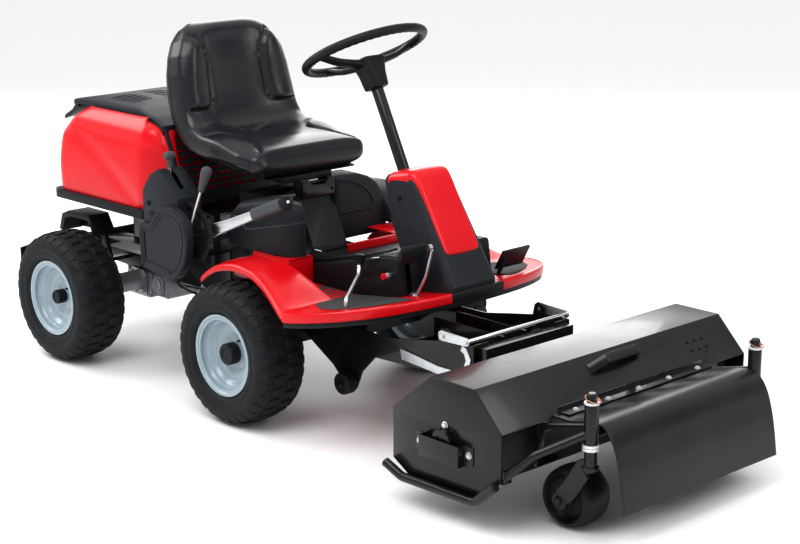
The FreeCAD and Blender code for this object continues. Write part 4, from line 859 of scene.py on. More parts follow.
MAT_MIDDLE = (1150, 240)
MAT_TOP = 2.2
MAT_OUTLINE = [(998, 184), (999, 252), (1055, 289), (1120, 322), (1190, 366), (1246, 372), (1296, 336),
               (1334, 286), (1362, 226), (1366, 190), (1200, 184), (1101, 184)]


def make_mats():
    """A dark anti-slip mat in each footwell, with four raised red ribs across it."""
    outline = []
    for a, b in zip(MAT_OUTLINE, MAT_OUTLINE[1:] + MAT_OUTLINE[:1]):
        outline += [(a[0] + (b[0] - a[0]) * k / 6, a[1] + (b[1] - a[1]) * k / 6) for k in range(6)]
    mx, my = MAT_MIDDLE
    mats, ribs = [], []
    for side in (-1, 1):
        rows = []
        for share, h in ((1.0, 0.1), (1.0, 1.6), (0.985, MAT_TOP), (0.9, MAT_TOP), (0.7, MAT_TOP),
                         (0.45, MAT_TOP), (0.2, MAT_TOP), (0.02, MAT_TOP)):
            rows.append([(mx + (x - mx) * share, side * (my + (y - my) * share),
                          floor_z(mx + (x - mx) * share) + h) for x, y in outline])
        mats.append(grid(rows, closed_v=True))
        for x, y0, y1 in ((1045, 199, 266), (1072, 194, 277), (1096, 189, 283), (1119, 190, 284)):
            path = [(x + 2, side * y0, 388), (x, side * (y0 + y1) / 2, 388), (x - 5, side * y1, 388)]
            ribs.append(sweep(catmull(path, 5), 4.6, 2.6, n=14, power=3))
    place("floor_mats", join(mats), "front_frame", "grip_rubber", "mat")
    place("floor_ribs", join(ribs), "front_frame", "red_paint")


# ---------------------------------------------------------------- lever console
COVER = [(396, 470), (405, 384), (424, 366), (548, 354), (606, 394), (630, 450), (632, 498), (611, 545),
         (560, 570), (505, 564), (472, 534), (442, 505), (408, 503)]
COVER_BACK = -356.3
COVER_FACE = -378.7


def offset_loop(points, d):
    """A closed loop of (x, z) points moved inward by d, whichever way it runs."""
    n = len(points)
    area = sum(points[i][0] * points[(i + 1) % n][1] - points[(i + 1) % n][0] * points[i][1] for i in range(n))
    sign = 1 if area > 0 else -1
    out = []
    for i, (x, z) in enumerate(points):
        x0, z0 = points[i - 1]
        x1, z1 = points[(i + 1) % n]
        size = math.hypot(x1 - x0, z1 - z0)
        out.append((x - sign * (z1 - z0) / size * d, z + sign * (x1 - x0) / size * d))
    return out


def make_console_cover():
    """The kidney cover over the lever pivots: a rounded rim, a sunk inner panel and its two treads."""
    loop = [tuple(p) for p in catmull(COVER + COVER[:1], 6)[:-1]]
    rim = [[(x, y, z) for x, z in offset_loop(loop, inset)] for inset, y in
           ((0, COVER_BACK), (0, -372), (0.8, -376.5), (3, -380.2), (6.5, -382), (13, -382), (15, -381.2),
            (17, -379.4), (20, -378.9), (26, COVER_FACE))]
    discs = [mesh_of([(x, y, z) for x, z in edge], [list(range(len(edge)))])
             for edge, y in ((offset_loop(loop, 26), COVER_FACE), (loop, COVER_BACK))]
    line = offset_loop(loop, 25)
    ridge = sweep([(x, -379.2, z) for x, z in line + line[:1]], 1.3, 1.0, up=(0, 1, 0), n=8)
    step = [(432, 384), (546, 372), (548, 377), (434, 389)]
    treads = [prism([(x, z + 4.5 * k) for x, z in step], "y", -381.0, -378, 0.5) for k in range(2)]
    whole = join([grid(rim, closed_v=True)] + discs + [ridge] + treads)
    tidy(whole)
    place("console_cover", whole, "front_frame", "grey_plastic", None, ["side_console_cover"])
    screws = [bolt((418, -356.2, 560), (0, -1, 0), 6, 3), bolt((430, -356.2, 530), (0, -1, 0), 4, 2)]
    place("console_screws", join(screws), "front_frame", "black_plastic")
    catch = prism([(425, 512), (452, 512), (452, 534), (428, 538)], "y", -359, -355, 1.2)
    place("console_catch", catch, "front_frame", "black_plastic")


# ---------------------------------------------------------------- levers
LEVER = (590.0, 480.0)
LEVER_Y = -314.0
LEVER_D = (math.cos(math.radians(22)), math.sin(math.radians(22)))


def lever_point(s, w, y):
    return (LEVER[0] + LEVER_D[0] * s - LEVER_D[1] * w, LEVER_Y + y, LEVER[1] + LEVER_D[1] * s + LEVER_D[0] * w)


def make_lift_lever():
    """The brushed steel arm with its folded edges, the moulded grip, the toothed collar and the button."""
    arm = [(-18, -14), (20, -21), (60, -22), (150, -17), (290, -13), (300, -12), (300, 12), (290, 13),
           (150, 16), (60, 22), (20, 21), (-10, 18), (-20, 8), (-22, -4)]
    blade = prism([lever_point(s, w, 0)[::2] for s, w in arm], "y", LEVER_Y - 3, LEVER_Y + 3, 1.2)
    lower = [lever_point(s, w + 2, -5) for s, w in ((26, -21), (60, -22), (150, -17), (288, -13))]
    upper = [lever_point(s, w - 2, -4.4) for s, w in ((26, 21), (60, 22), (150, 16), (288, 13))]
    folds = [sweep(catmull(path, 6), half, 1.6, n=12, power=4) for path, half in ((lower, 5.5), (upper, 4.0))]
    place("lift_lever_steel", join([blade] + folds), "lift_lever", "bright_steel", None, ["lift_lever_arm"])
    rows, start = [], 292
    for i in range(75):
        s = start + 136 * i / 74
        shrink = 2.5 * (1 - rounding((s - start) / 5))
        row = []
        for k in range(32):
            u, v, _, q = oval(k, 32, 3.4, 17.4 - shrink, 18.2 - shrink)
            if q < -0.2 and s > 306:
                v += 3.0 * (0.5 + 0.5 * math.cos(2 * math.pi * (s - 306) / 15.5)) * min(1, (-q - 0.2) / 0.4)
            row.append(lever_point(s, v, u))
        rows.append(row)
    place("lift_lever_handle", grid(rows, closed_v=True, cap=True), "lift_lever", "grip_rubber", None,
          ["lift_lever_grip"])
    rows = []
    for s, r in ((427, 15), (428, 18.4), (430, 19), (440, 19), (442.5, 18), (443.5, 14), (443.5, 6.2),
                 (434, 6.2)):
        row = []
        for k in range(96):
            tooth = (0.9 if k % 8 < 4 else -0.9) if 428.5 < s < 441 else 0.0
            u, v = oval(k, 96, 3.2, r + tooth, r + tooth)[:2]
            row.append(lever_point(s, v, u))
        rows.append(row)
    place("lift_lever_collar", grid(rows, closed_v=True), "lift_lever", "black_plastic")
    button = lathe([(LEAST, 0), (5.6, 0), (6, 1), (6, 20), (5.4, 23), (3.5, 24.6), (LEAST, 25)], (0, 0, 0), "z",
                   28)
    place("lift_button_cap", turned_to(button, lever_point(427, 0, 0), (LEVER_D[0], 0, LEVER_D[1])),
          "lift_button", "bright_steel", None, ["lift_lever_button"])


def make_small_levers():
    """The height selector with its long oval knob, and the throttle with its cross knob."""
    foot = (LEVER[0], -348.0, LEVER[1])
    lean = Vector((0.43, 0, 0.90)).normalized()
    stalk = turned_to(pin(4, 4, 176, (0, 0, 0), "z"), foot, lean)
    boss = collar(8.1, 15, -2.4, 2.4, foot, n=40, chamfer=(1, 0.6))
    place("height_selector_rod", join([stalk, boss]), "height_selector", "black_plastic", "bright_steel",
          ["height_lever"])
    knob = [(LEAST, 166), (6.5, 166), (8.2, 168), (9.2, 174), (10.4, 186), (12.6, 204), (15, 220), (16, 230),
            (15.4, 238), (12.6, 244), (8, 247.5), (LEAST, 248.6)]
    place("height_selector_knob", turned_to(lathe(knob, (0, 0, 0), "z", 40), foot, lean), "height_selector",
          "grip_rubber")
    x, y, z = 478.0, -318.0, 560.0
    ring = collar(5.1, 12, -2, 2, (x, y, z), n=36, chamfer=(1, 0.8))
    place("throttle_stem", join([block(x - 5, x + 5, y - 2, y + 2, z, 682, 0.8), ring]), "throttle",
          "black_plastic", "bright_steel", ["throttle_lever"])
    neck = lathe([(LEAST, 670), (8.6, 670), (9.2, 672), (8.4, 682), (8.8, 692), (11, 700), (LEAST, 704)],
                 (x, y, 0), "z", 32)
    bar = sweep([(x, y + v, 705) for v in (-17.5, -16.5, -14, -9, 0, 9, 14, 16.5, 17.5)],
                [5, 8.5, 10.8, 12, 12.4, 12, 10.8, 8.5, 5], n=28)
    place("throttle_knob", join([neck, bar]), "throttle", "grip_rubber")


# ---------------------------------------------------------------- sweeper details
FLAP = [(1964, 273), (1984, 273), (2004, 273.8), (2050, 281), (2096, 287), (2132, 278), (2158, 246),
        (2176, 196), (2188, 140), (2197, 78)]
FLAP_HALF = 304
BOLT_STEP = 120                         # between the bolts along the flap's rail


def make_flap():
    """The hanging rubber sheet: clamped at its rail, drawn down between the bolts, a slow wave at its foot."""
    rows = []
    for x, z in catmull(FLAP, 7):
        near = math.exp(-((x - 2030) / 26) ** 2)
        row = []
        for k in range(97):
            y = 2 * FLAP_HALF * k / 96 - FLAP_HALF
            dip = -3.6 * near * (0.5 - 0.5 * math.cos(2 * math.pi * (y + 2 * BOLT_STEP) / BOLT_STEP))
            wave = -2.0 * smooth_step((x - 2120) / 70) * (0.5 + 0.5 * math.sin(y / 97.0 + 0.6))
            row.append((x + wave, y, z + dip))
        rows.append(row)
    sheet = thicken(grid(rows), 5)
    tidy(sheet, 0.0008)
    place("flap_sheet", sheet, "implement", "rubber", None, ["rubber_flap"], math.radians(50))


def make_bolts():
    """The bolts of the flap's rail and the side plates, and a patch of rivets on the housing's slope."""
    parts = [bolt((1984, BOLT_STEP * i, 276.4), (0, 0, 1), 6.2, 3.6) for i in range(-2, 3)]
    for side in (-1, 1):
        for x, z, y in ((1692, 183, 481.2), (1858, 186, 481.2), (1775, 241.5, 478.2)):
            parts.append(bolt((x, side * y, z), (0, side, 0), 7.4, 4.4))
    place("hex_bolts", join(parts), "implement", "zinc", None, ["sweeper_bolts"])
    rivets = []
    for i in range(6):
        x = 1905 + 18 * (i % 2)
        place_on_slope = (x, 300 + 30 * (i // 2), 354.2 - (x - 1870) * 93 / 90)
        rivets.append(bolt(place_on_slope, (0.7, 0, 0.7), 4, 1.6, False))
    place("shell_rivets", join(rivets), "implement", "black_paint")


def make_caster(name, side):
    """One swivel wheel: the turned stem with its washers and ring pin, a bent strap fork, a barrel wheel."""
    sx, sy = 2103.0, -322.0
    wx, wy, wz = sx - 84, sy + 50, 77.0
    arm_y = wy - 64
    swivel, roll = f"caster_{name}", f"caster_wheel_{name}"

    def put(piece, mesh, body, slot, look=None, replaces=()):
        place(f"{name}_{piece}", mirrored(mesh) if side > 0 else mesh, body, slot, look, replaces)
    stem = lathe([(LEAST, 170), (12.4, 170), (12.5, 172), (12.5, 360), (11, 364), (8.5, 366), (LEAST, 366)],
                 (sx, sy, 0), "z", 40)
    stack = lathe([(12.6, 176), (20, 176), (21, 178), (21, 184), (17, 186), (15.6, 187), (15.6, 196),
                   (14.6, 197), (15.6, 198), (15.6, 209), (14.6, 210), (15.6, 211), (15.6, 222), (12.6, 222)],
                  (sx, sy, 0), "z", 48, closed=True)
    path = catmull([(sx - 2, sy + 12, 179), (sx - 6, sy - 2, 179), (sx - 16, sy - 10, 173),
                    (sx - 30, arm_y + 4, 152), (sx - 54, arm_y + 3.5, 114), (wx, arm_y + 3.5, wz)], 6)
    last = len(path) - 1
    wide = [graph(i / last, [0, 0.25, 0.7, 0.92, 1], [20, 25, 25, 23, 12]) for i in range(last + 1)]
    strap = sweep(path, wide, 4.2, up=(0, 1, 0.2), n=24, power=5)
    eye = lathe([(LEAST, -4), (21, -4), (22.5, -2.6), (22.5, 3), (21, 4), (LEAST, 4)], (wx, arm_y + 4, wz),
                n=48)
    axle = pin(8, -8, 112, (wx, arm_y, wz), n=28)
    put("caster_strap", join([stem, stack, strap, eye, axle]), swivel, "black_paint", None,
        [f"{name}_caster_fork"])
    nuts = [bolt((wx, arm_y + 0.2, wz), (0, -1, 0), 12.5, 5.5)]
    for x, z in arc(wx, wz, 8, 0, 5 * math.pi / 3, 6):
        nuts.append(block(x - 1.8, x + 1.8, arm_y - 9.6, arm_y - 6, z - 1.8, z + 1.8, 0.4))
    put("caster_nut", join(nuts), swivel, "black_paint")
    rings = [collar(12.7, outer, low, high, (sx, sy, 0), "z", chamfer=(1, edge)) for outer, low, high, edge in
             ((21, 224.5, 231.6, 1), (21, 232.4, 239.4, 1), (19, 338.6, 344.2, 0.8))]
    put("caster_washers", join(rings), swivel, "zinc", "washer")
    loop = [(sx + 3 + 20 * c, sy + 17 * q, 351 - 5 * c) for c, q in arc(0, 0, 1, 0, 2 * math.pi, 49)]
    cross = [(sx - 18, sy, 353), (sx, sy, 353), (sx + 22, sy, 353)]
    put("caster_pin", join([sweep(loop, 1.5, n=10), sweep(cross, 2.6, n=14)]), swivel, "black_paint", "copper")
    outer = [(8.2, -36), (17, -36), (20, -34), (21, -26), (34, -22), (46, -23), (53, -28), (57.5, -38),
             (60, -47), (62.5, -49.6), (66, -48), (70, -42), (73.4, -33), (75.6, -22), (76.7, -10), (77, 0)]
    barrel = lathe(outer + [(r, -h) for r, h in outer[-2::-1]], (wx, wy, wz), n=80, closed=True)
    put("caster_barrel", barrel, roll, "black_plastic", None, [f"{name}_caster_wheel"])


def make_latch():
    """The carrier latch: two zinc arms with rounded ends, and the polished bar between them."""
    x, z, reach = 1481.0, 347.0, 88.0
    outline = arc(x, z, 14, math.pi / 2, 3 * math.pi / 2, 13)
    outline += arc(x + reach, z, 11, -math.pi / 2, math.pi / 2, 11)
    arms = []
    for side in (-1, 1):
        arms.append(prism(outline, "y", *sorted((side * 193, side * 197)), 0.7))
        arms.append(bolt((x, side * 197.2, z), (0, side, 0), 8, 4))
        arms.append(pin(5, -5, 11, (x, side * 188, z)))
        arms.append(bolt((x + reach, side * 197.2, z), (0, side, 0), 6, 2.5))
    place("latch_arms", join(arms), "latch", "zinc", None, ["latch_handle"])
    bar = lathe([(LEAST, -196), (5.4, -196), (6, -195), (6, 195), (5.4, 196), (LEAST, 196)], (x + reach, 0, z),
                n=32)
    place("latch_bar", bar, "latch", "chrome_bar")


# ---------------------------------------------------------------- covers beside the seat
def plan_wall(path, rows):
    """A moulded wall over a plan path: rows gives (height function of x, inward offset) up the wall."""
    line = catmull(path, 5)
    out = []
    for height, inward in rows:
        row = []
        for i, (x, y) in enumerate(line):
            x0, y0 = line[max(i - 1, 0)]
            x1, y1 = line[min(i + 1, len(line) - 1)]
            size = math.hypot(x1 - x0, y1 - y0)
            row.append((x - (y1 - y0) / size * inward, y + (x1 - x0) / size * inward, height(x)))
        out.append(row)
    return thicken(grid(out), 3.5)


def make_side_covers():
    """The right cover under the seat, with its sunk upper panel, and the fuel tank's cover on the left."""
    foot = 465.6

    def top(x):
        return graph(x, [640, 668, 700, 800, 880, 930, 950], [545, 566, 592, 616, 632, 622, 612])

    def line(x):
        return min(graph(x, [640, 715, 746, 950], [560, 548, 519, 566]), top(x) - 30)

    def between(share):
        return lambda x: foot + (line(x) - foot) * share

    def near(step):
        return lambda x: line(x) + step

    def below(drop):
        return lambda x: top(x) - drop
    path = [(650, -236), (656, -250), (676, -257), (720, -258), (800, -258), (870, -257.5), (905, -252),
            (928, -238), (940, -218), (944, -198)]
    rows = [(between(share), 0) for share in (0, 0.4, 0.8)]
    rows += [(near(step), inward) for step, inward in ((-5, 0), (-2, 0.6), (0, 3.4), (2, 4.6), (7, 5))]
    rows += [(below(drop), inward) for drop, inward in ((20, 7), (13, 11), (7, 18), (3, 27), (1, 38), (0, 52),
                                                        (0, 78))]
    place("right_cover_shell", plan_wall(path, rows), "front_frame", "grey_plastic", None, ["right_side_cover"])
    fixings = [bolt((672, -256.6, 500), (0, -1, 0), 9.5, 3)]
    fixings += [block(x, x + 9, -259, -250, foot - 1, foot + 9, 1.5) for x in (800, 872)]
    place("right_cover_fixings", join(fixings), "front_frame", "black_plastic")
    outline = [(62, 632), (150, 632), (196, 616), (227, 595), (247, 568), (262, 535), (268, 500), (268, 437),
               (62, 437)]
    dee = [(72, 622), (104, 617), (136, 606), (165, 590), (186, 574), (202, 556), (209, 538), (206, 526),
           (196, 521), (150, 521), (110, 521), (72, 521)]
    inner_dee = [(781.8, y - 8 * (z < 600), z - 9 * (z > 560) + 8 * (z < 530)) for y, z in dee]
    side = [(600, foot), (600, 545), (626, 572), (700, 576), (762, 556), (806, 520), (830, foot)]
    tank = [prism(outline, "x", 690, 782, 15, 5),
            sweep(catmull([(781.5, y, z) for y, z in dee], 5), 4.6, 3.4, up=(1, 0, 0), n=14),
            sweep(catmull(inner_dee, 5), 2.2, 1.4, up=(1, 0, 0), n=10), prism(side, "y", 250, 345, 18, 4)]
    place("left_tank_shell", join(tank), "front_frame", "grey_plastic", None, ["left_tank_cover"])
    wall = [block(938, 942, -36, 262, 430, 470, 1.2), block(930, 942, -36, 262, 468, 471)]
    place("footwell_wall", join(wall), "front_frame", "red_paint")


# ---------------------------------------------------------------- steering console
def console_half(z):
    """Half width of the console at a height."""
    return 72 + (717 - z) * 20 / 277


def make_console_body():
    """The console's body with round front corners and stepped lower sides."""
    r = 24.0
    rows = []
    for z in (396, 420, 440, 470, 500, 520, 545, 573, 610, 650, 690, 700, 706, 711):
        back = graph(z, [380, 500, 573, 696, 712], [1214, 1214, 1172, 1131, 1142])
        front = graph(z, [380, 440, 712], [1412, 1412, 1251]) - r
        half = console_half(z) - 3.6 * smooth_step((z - 696) / 16)
        loop = [(back + 3, -half), (back, -half + 3), (back, half - 3), (back + 3, half)]
        loop += arc(front, half - r, r, math.pi / 2, 0, 8) + arc(front, -half + r, r, 0, -math.pi / 2, 8)
        rows.append([(x, y, z) for x, y in loop])
    body = grid(rows, closed_v=True, cap=True)
    tidy(body)
    cutters = []
    for side in (-1, 1):
        step = prism([(1100, 575), (1180, 575), (1281, 570), (1287, 549), (1340, 430), (1340, 380),
                      (1100, 380)], "y", 0, 60, 0)
        for v in step.vertices:
            v.co.y = side * (v.co.y + (console_half(v.co.z / MM) - 3.2) * MM)
        if side < 0:
            step.flip_normals()
        cutters.append(step)
    floor = [(1100, 300), (1100, 386.6), (1130, 386.6), (1450, floor_z(1450) + 0.6), (1450, 300)]
    for cutter in cutters + [prism(floor, "y", -150, 150, 0)]:
        body = cut_from(body, [cutter])
    place("console_body", body, "front_frame", "grey_plastic", None, ["console_housing"], math.radians(24))


def make_console_cap():
    """The red cap: it wraps over the sides at the top and narrows to a tongue down the front."""
    line = catmull([(1134, 694), (1137, 706), (1146, 715), (1164, 721), (1190, 726), (1216, 731), (1232, 730),
                    (1245, 722), (1258, 704), (1278, 671), (1310, 617), (1342, 564), (1362, 530),
                    (1369, 518)], 4)
    rows, last = [], len(line) - 1
    for i, (x, z) in enumerate(line):
        x0, z0 = line[max(i - 1, 0)]
        x1, z1 = line[min(i + 1, last)]
        size = math.hypot(x1 - x0, z1 - z0)
        nx, nz = -(z1 - z0) / size, (x1 - x0) / size
        share = i / last
        half = console_half(z) + 2.2 - graph(share, [0, 0.42, 0.62, 1], [0, 0.4, 7, 24])
        half -= 20.8 * (1 - rounding((last - i) / 5.0))
        r = graph(share, [0, 0.45, 0.65, 1], [20, 22, 12, 9])
        wrap = max(r, graph(share, [0, 0.10, 0.40, 0.55, 0.7, 1], [7, 16, 30, 30, 12, 8]))
        drop = -5.0 * (1 - rounding((last - i) / 3.0))
        section = [(half + 0.2, -wrap), (half, 1 - wrap)] + arc(half - r, -r, r, 0, math.pi / 2, 8)
        section += [(half * 0.5, 1.5), (0, 2.4)]
        section += [(-y, d) for y, d in section[-2::-1]]
        rows.append([(x + nx * (d + drop), y, z + nz * (d + drop)) for y, d in section])
    place("console_cap", thicken(grid(rows), 3.0), "front_frame", "red_plastic", None, ["console_panel"],
          math.radians(40))


# ---------------------------------------------------------------- drive castings
def make_castings():
    """The transaxle's ribs, flanges, covers and bolts, and the control rods ahead of it."""
    parts = []
    for side in (-1, 1):
        parts.append(collar(32, 47, -6, 6, (0, side * 104, TYRE_R)))
        for x, z in arc(0, TYRE_R, 39.5, 0.3, 0.3 + 5 * math.pi / 3, 6):
            parts.append(bolt((x, side * 109.5, z), (0, side, 0), 5, 3, False))
        parts += [block(x, x + 5, *sorted((side * 97, side * 107)), 158, 252, 1.5) for x in (-52, -38, 40, 54)]
    for x in range(74, 146, 12):
        parts += [block(x, x + 4, -110, -100, 170, 240, 1.2), block(x, x + 4, -100, 42, 170, 178, 1.2)]
    parts += [block(x0, x1, -108, 46, 168, 244, 1.5) for x0, x1 in ((64, 70), (146, 153))]
    parts += [bolt((153, y, z), (1, 0, 0), 4.5, 3, False) for y in (-100, -62, -24, 14, 38) for z in (236, 176)]
    cover = [(LEAST, -12), (20, -12), (22, -10), (23, -2), (30, -1), (30, 4), (LEAST, 4)]
    plug = [(LEAST, -10), (8, -10), (9, -8), (9, 0), (14, 0), (14, 4), (LEAST, 4)]
    parts += [lathe(cover, (110, -108, 206), n=48), lathe(plug, (20, 20, 150), "z", 24)]
    place("transaxle_details", join(parts), "rear_carriage", "cast_alloy")
    rods = [tube([(154, -60, 214), (240, -120, 230), (330, -150, 236), (372, -152, 236)], 4, 30),
            tube([(154, -30, 196), (250, -60, 214), (372, -64, 218)], 3.2, 30)]
    place("drive_rods", join(rods), "rear_carriage", "frame_paint")


# ---------------------------------------------------------------- seat support
def make_seat_support():
    """The post's notched bracket, the bulkhead behind it and the pan's front rail."""
    notch = [(-66, 584), (66, 584), (66, 636), (40, 636), (24, 618), (-24, 618), (-40, 636), (-66, 636)]
    bracket = [prism(notch, "x", 772, 775, 0.6)]
    bracket += [block(748, 775, y, y + 3, 584, 632, 0.6) for y in (-66, 63)]
    bracket += [bolt((775, y, 600), (1, 0, 0), 5, 3) for y in (-52, 52)]
    place("post_bracket", join(bracket), "front_frame", "black_paint")
    bulkhead = [block(612, 664, -170, 170, 470, 598, 6), block(612, 640, -170, 250, 452, 476, 3)]
    place("seat_bulkhead", join(bulkhead), "front_frame", "black_plastic")
    place("seat_rail", block(700, 752, -112, 70, 630, 650, 3), "seat", "black_plastic")


# ---------------------------------------------------------------- pedals and small fittings
def make_forward_pedal():
    """The padded plate ahead, on its bright bent rod."""
    rows = []
    for y in np.linspace(-222, -132, 19):
        grow = rounding(min((y + 222) / 7, (-132 - y) / 7)) * 0.35 + 0.65
        row = []
        for k in range(30):
            u, v = oval(k, 30, 2 / 0.62, 27 * grow, 9.5 * grow)[:2]
            row.append((1349 + u * 0.34 + v * 0.94, y, 541 + u * 0.94 - v * 0.34))
        rows.append(row)
    place("forward_pad", grid(rows, closed_v=True, cap=True), "forward_drive", "black_plastic", None,
          ["forward_pedal"])
    x, y = PEDAL_SLOTS[0]
    parts = [turned_to(pin(r, -h, h, (0, 0, 0), "z", 28), centre, (0, 1, 0)) for centre, r, h in
             (((x, y, 412), 9, 7), ((1368, -132, 554), 8.5, 6))]
    parts.append(tube([(1318, y, 400), (1352, -128, 470), (1372, -126, 548), (1366, -134, 556)], 5.0, 16))
    place("forward_rod", join(parts), "forward_drive", "black_plastic", "bright_steel")


def make_reverse_pedal():
    """The bent bright rod that rises to a ribbed boot beside the tunnel."""
    x, y = PEDAL_SLOTS[1]
    z = floor_z(x) - 14
    rod = tube([(x, y, z), (1252, -328, 424), (1190, -222, 466), (1176, -212, 494)], 5.8, 24)
    eye = collar(4.2, 8.5, -8.5, 8.5, (x, y, z), n=32, chamfer=(0.5, 0.5))
    place("reverse_rod", join([rod, eye]), "reverse_drive", "bright_steel", None, ["reverse_pedal"])
    ribs = [(LEAST, -2), (11, -2), (12, 0), (11, 3), (15, 5), (15.5, 8), (13, 10), (17, 12), (18, 15), (15, 17),
            (18, 19), (18.5, 22), (15, 25), (10, 28), (LEAST, 29)]
    boot = turned_to(lathe(ribs, (0, 0, 0), "z", 32), (1178, -213, 488), Vector((-0.25, 0.3, 0.9)).normalized())
    place("reverse_boot", boot, "reverse_drive", "black_plastic")


def make_fittings():
    """The fixed cables along the tunnel, the parking button and a screw in the console's side."""
    cables = []
    for y, lift in ((-168, 4), (-160, 5), (-150, 5)):
        path = [(x, y + aside, z + lift) for x, aside, z in ((862, 0, 446), (980, -3, 456), (1100, 0, 484),
                                                             (1190, 8, 506), (1232, 30, 519))]
        cables.append(sweep(catmull(path, 8), 3.2, n=12))
    place("tunnel_cables", join(cables), "front_frame", "black_plastic")
    x, z = 1262, 466
    cap = lathe([(LEAST, -9), (8.2, -9), (9, -7.5), (9, -2), (LEAST, -2)], (x, -194, z), n=32)
    place("parking_cap", cap, "parking_lock", "red_plastic")
    body = lathe([(LEAST, -196.2), (7.4, -196.2), (7.9, -195), (7.9, -190), (7.2, -189.4), (7.2, -188),
                  (7.9, -187.4), (7.9, -164), (LEAST, -164)], (x, 0, z), n=36)
    place("parking_body", body, "parking_lock", "red_plastic", "zinc", ["parking_button"])
    screw = bolt((1194, -console_half(652), 652), (0, -1, 0), 6.5, 2)
    place("cover_screws", screw, "front_frame", "black_plastic")


# ---------------------------------------------------------------- everything else from the CAD shapes
BEVELS = {                              # millimetres; 1 where a node isn't listed
    "main_frame": 1.5, "front_axle": 1.5, "center_tunnel": 1.5, "seat_post": 2.5, "steering_column": 0.8,
    "side_console": 4, "lever_quadrant": 0.8, "hood_tray": 5, "engine": 3, "seat_pan": 1.2, "rear_frame": 1.5,
    "transaxle": 2, "rear_guards": 5, "lock_hooks": 0.8, "housing_shell": 0.8, "side_plates": 1.2, "skids": 0,
    "rotor_brush": 3, "caster_frame": 0.8, "flap_rail": 0.6, "carry_handle": 2,
}


def show_the_rest():
    """Shows every CAD node that no piece replaces: its own shape, its flats merged and its edges rounded."""
    done = {node for o in bpy.data.objects if "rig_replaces" in o for node in o["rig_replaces"]}
    slots = {part["node"]: part["material_slot"] for part in frame["record"]["subparts"]}
    for body, nodes in frame["record"]["behaviour"]["bodies"].items():
        for node in nodes:
            if node not in done:
                mesh = frame["nodes"][node].data.copy()
                tidy(mesh, BEVELS.get(node, 1) * MM, merge=0.00002, flatten=True)
                place(f"{node}_shown", mesh, body, slots[node], None, [node])


# ---------------------------------------------------------------- stage, light and camera
FLOOR_HALF = 120.0                      # metres
# The sky's brightness by the sine of its height: dark at the horizon, a bright band just above it, dim
# again, then rising. Straight overhead the ramp's own white stays.
SKY = ((0.0, 0.125), (0.10, 1.0), (0.34, 0.175), (0.60, 0.625))
SKY_TINT = (1.0, 1.005, 1.02)
SKY_STRENGTH = 1.45
BACKDROP = (0.88, 0.88, 0.885)
# Each light's name, place, aim, size in metres and power in watts.
LIGHTS = (("key", (0.6, -2.4, 3.6), (0, 0, 0.4), 2.4, 85),
          ("rim", (-3.0, -1.6, 2.6), (0, 0, 0.6), 1.8, 55),
          ("front", (3.2, 0.6, 2.6), (0.4, 0, 0.3), 1.6, 30),
          ("back", (-3.4, 3.6, 2.6), (0.2, 0, 0.5), 3.2, 95))


def make_floor():
    mesh = bpy.data.meshes.new("floor")
    a = FLOOR_HALF
    mesh.from_pydata([(-a, -a, 0), (a, -a, 0), (a, a, 0), (-a, a, 0)], [], [(0, 1, 2, 3)])
    floor = bpy.data.objects.new("floor", mesh)
    bpy.context.scene.collection.objects.link(floor)
    mesh.materials.append(material("Floor", (0.93, 0.93, 0.93), 0.55, vary=0.01, grain=40, bump=0.01))


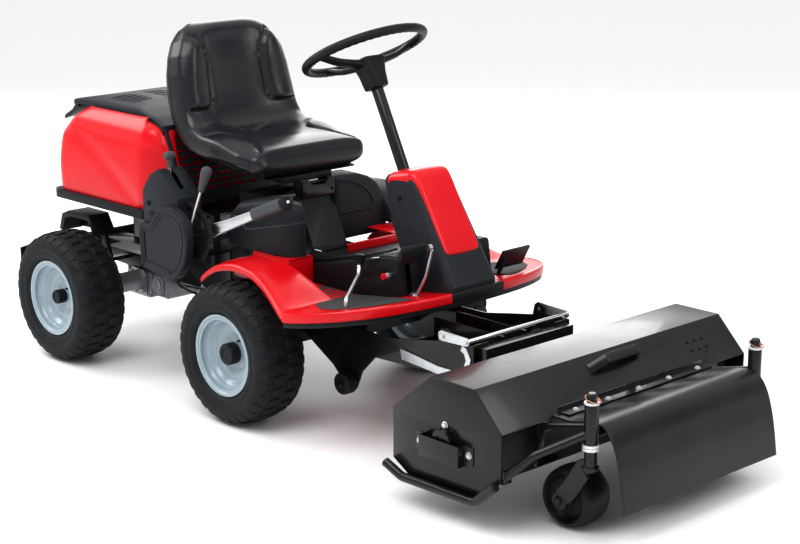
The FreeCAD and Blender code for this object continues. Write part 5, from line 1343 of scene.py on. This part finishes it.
def make_sky():
    """A banded sky for soft light and reflections; the camera itself sees plain pale grey."""
    world = bpy.data.worlds.new("studio")
    world.use_nodes = True
    nodes, links = world.node_tree.nodes, world.node_tree.links
    where = nodes.new("ShaderNodeTexCoord")
    split = nodes.new("ShaderNodeSeparateXYZ")
    ramp = nodes.new("ShaderNodeValToRGB")
    stops = ramp.color_ramp.elements
    for position, level in SKY:
        stop = stops.new(position) if position else stops[0]
        stop.color = (*(level * tint for tint in SKY_TINT), 1)
    links.new(where.outputs["Generated"], split.inputs["Vector"])
    links.new(split.outputs["Z"], ramp.inputs["Fac"])
    links.new(ramp.outputs["Color"], nodes["Background"].inputs["Color"])
    nodes["Background"].inputs["Strength"].default_value = SKY_STRENGTH
    pale = nodes.new("ShaderNodeBackground")
    pale.inputs["Color"].default_value = (*BACKDROP, 1)
    path = nodes.new("ShaderNodeLightPath")
    blend = nodes.new("ShaderNodeMixShader")
    links.new(path.outputs["Is Camera Ray"], blend.inputs[0])
    links.new(nodes["Background"].outputs[0], blend.inputs[1])
    links.new(pale.outputs[0], blend.inputs[2])
    links.new(blend.outputs[0], nodes["World Output"].inputs["Surface"])
    scene = bpy.context.scene
    scene.world = world
    scene.view_settings.view_transform = "Standard"
    scene.view_settings.gamma = 0.84


def make_lights():
    for name, where, aim, size, power in LIGHTS:
        light = bpy.data.lights.new(name, "AREA")
        light.size, light.energy = size, power
        o = bpy.data.objects.new(name, light)
        o.location = where
        o.rotation_mode = "QUATERNION"
        o.rotation_quaternion = (Vector(aim) - Vector(where)).to_track_quat("-Z", "Y")
        bpy.context.scene.collection.objects.link(o)


def make_camera():
    """The camera solved for the reference view: metres, degrees and a 36 mm sensor."""
    azimuth, elevation, roll = math.radians(46.3175), math.radians(14.4698), math.radians(-0.064)
    back = Vector((math.sin(azimuth) * math.cos(elevation), -math.cos(azimuth) * math.cos(elevation),
                   math.sin(elevation)))
    data = bpy.data.cameras.new("camera")
    data.sensor_width, data.lens = 36.0, 82.05
    data.clip_end = 500
    camera = bpy.data.objects.new("camera", data)
    camera.location = (3.7685, -3.4421, 1.7024)
    camera.rotation_mode = "QUATERNION"
    turn = Matrix.Rotation(roll, 4, "Z").to_quaternion()
    camera.rotation_quaternion = (-back).to_track_quat("-Z", "Y") @ turn
    bpy.context.scene.collection.objects.link(camera)
    bpy.context.scene.camera = camera


make_camera()
make_floor()
make_sky()
make_lights()
make_wheels()
make_seat()
make_steering()
make_hood()
make_hood_top()
make_hood_front()
make_footplate()
make_mats()
make_console_cover()
make_side_covers()
make_console_body()
make_console_cap()
make_castings()
make_seat_support()
make_forward_pedal()
make_reverse_pedal()
make_lift_lever()
make_small_levers()
make_flap()
make_bolts()
make_caster("right", -1)
make_caster("left", 1)
make_latch()
make_fittings()
show_the_rest()
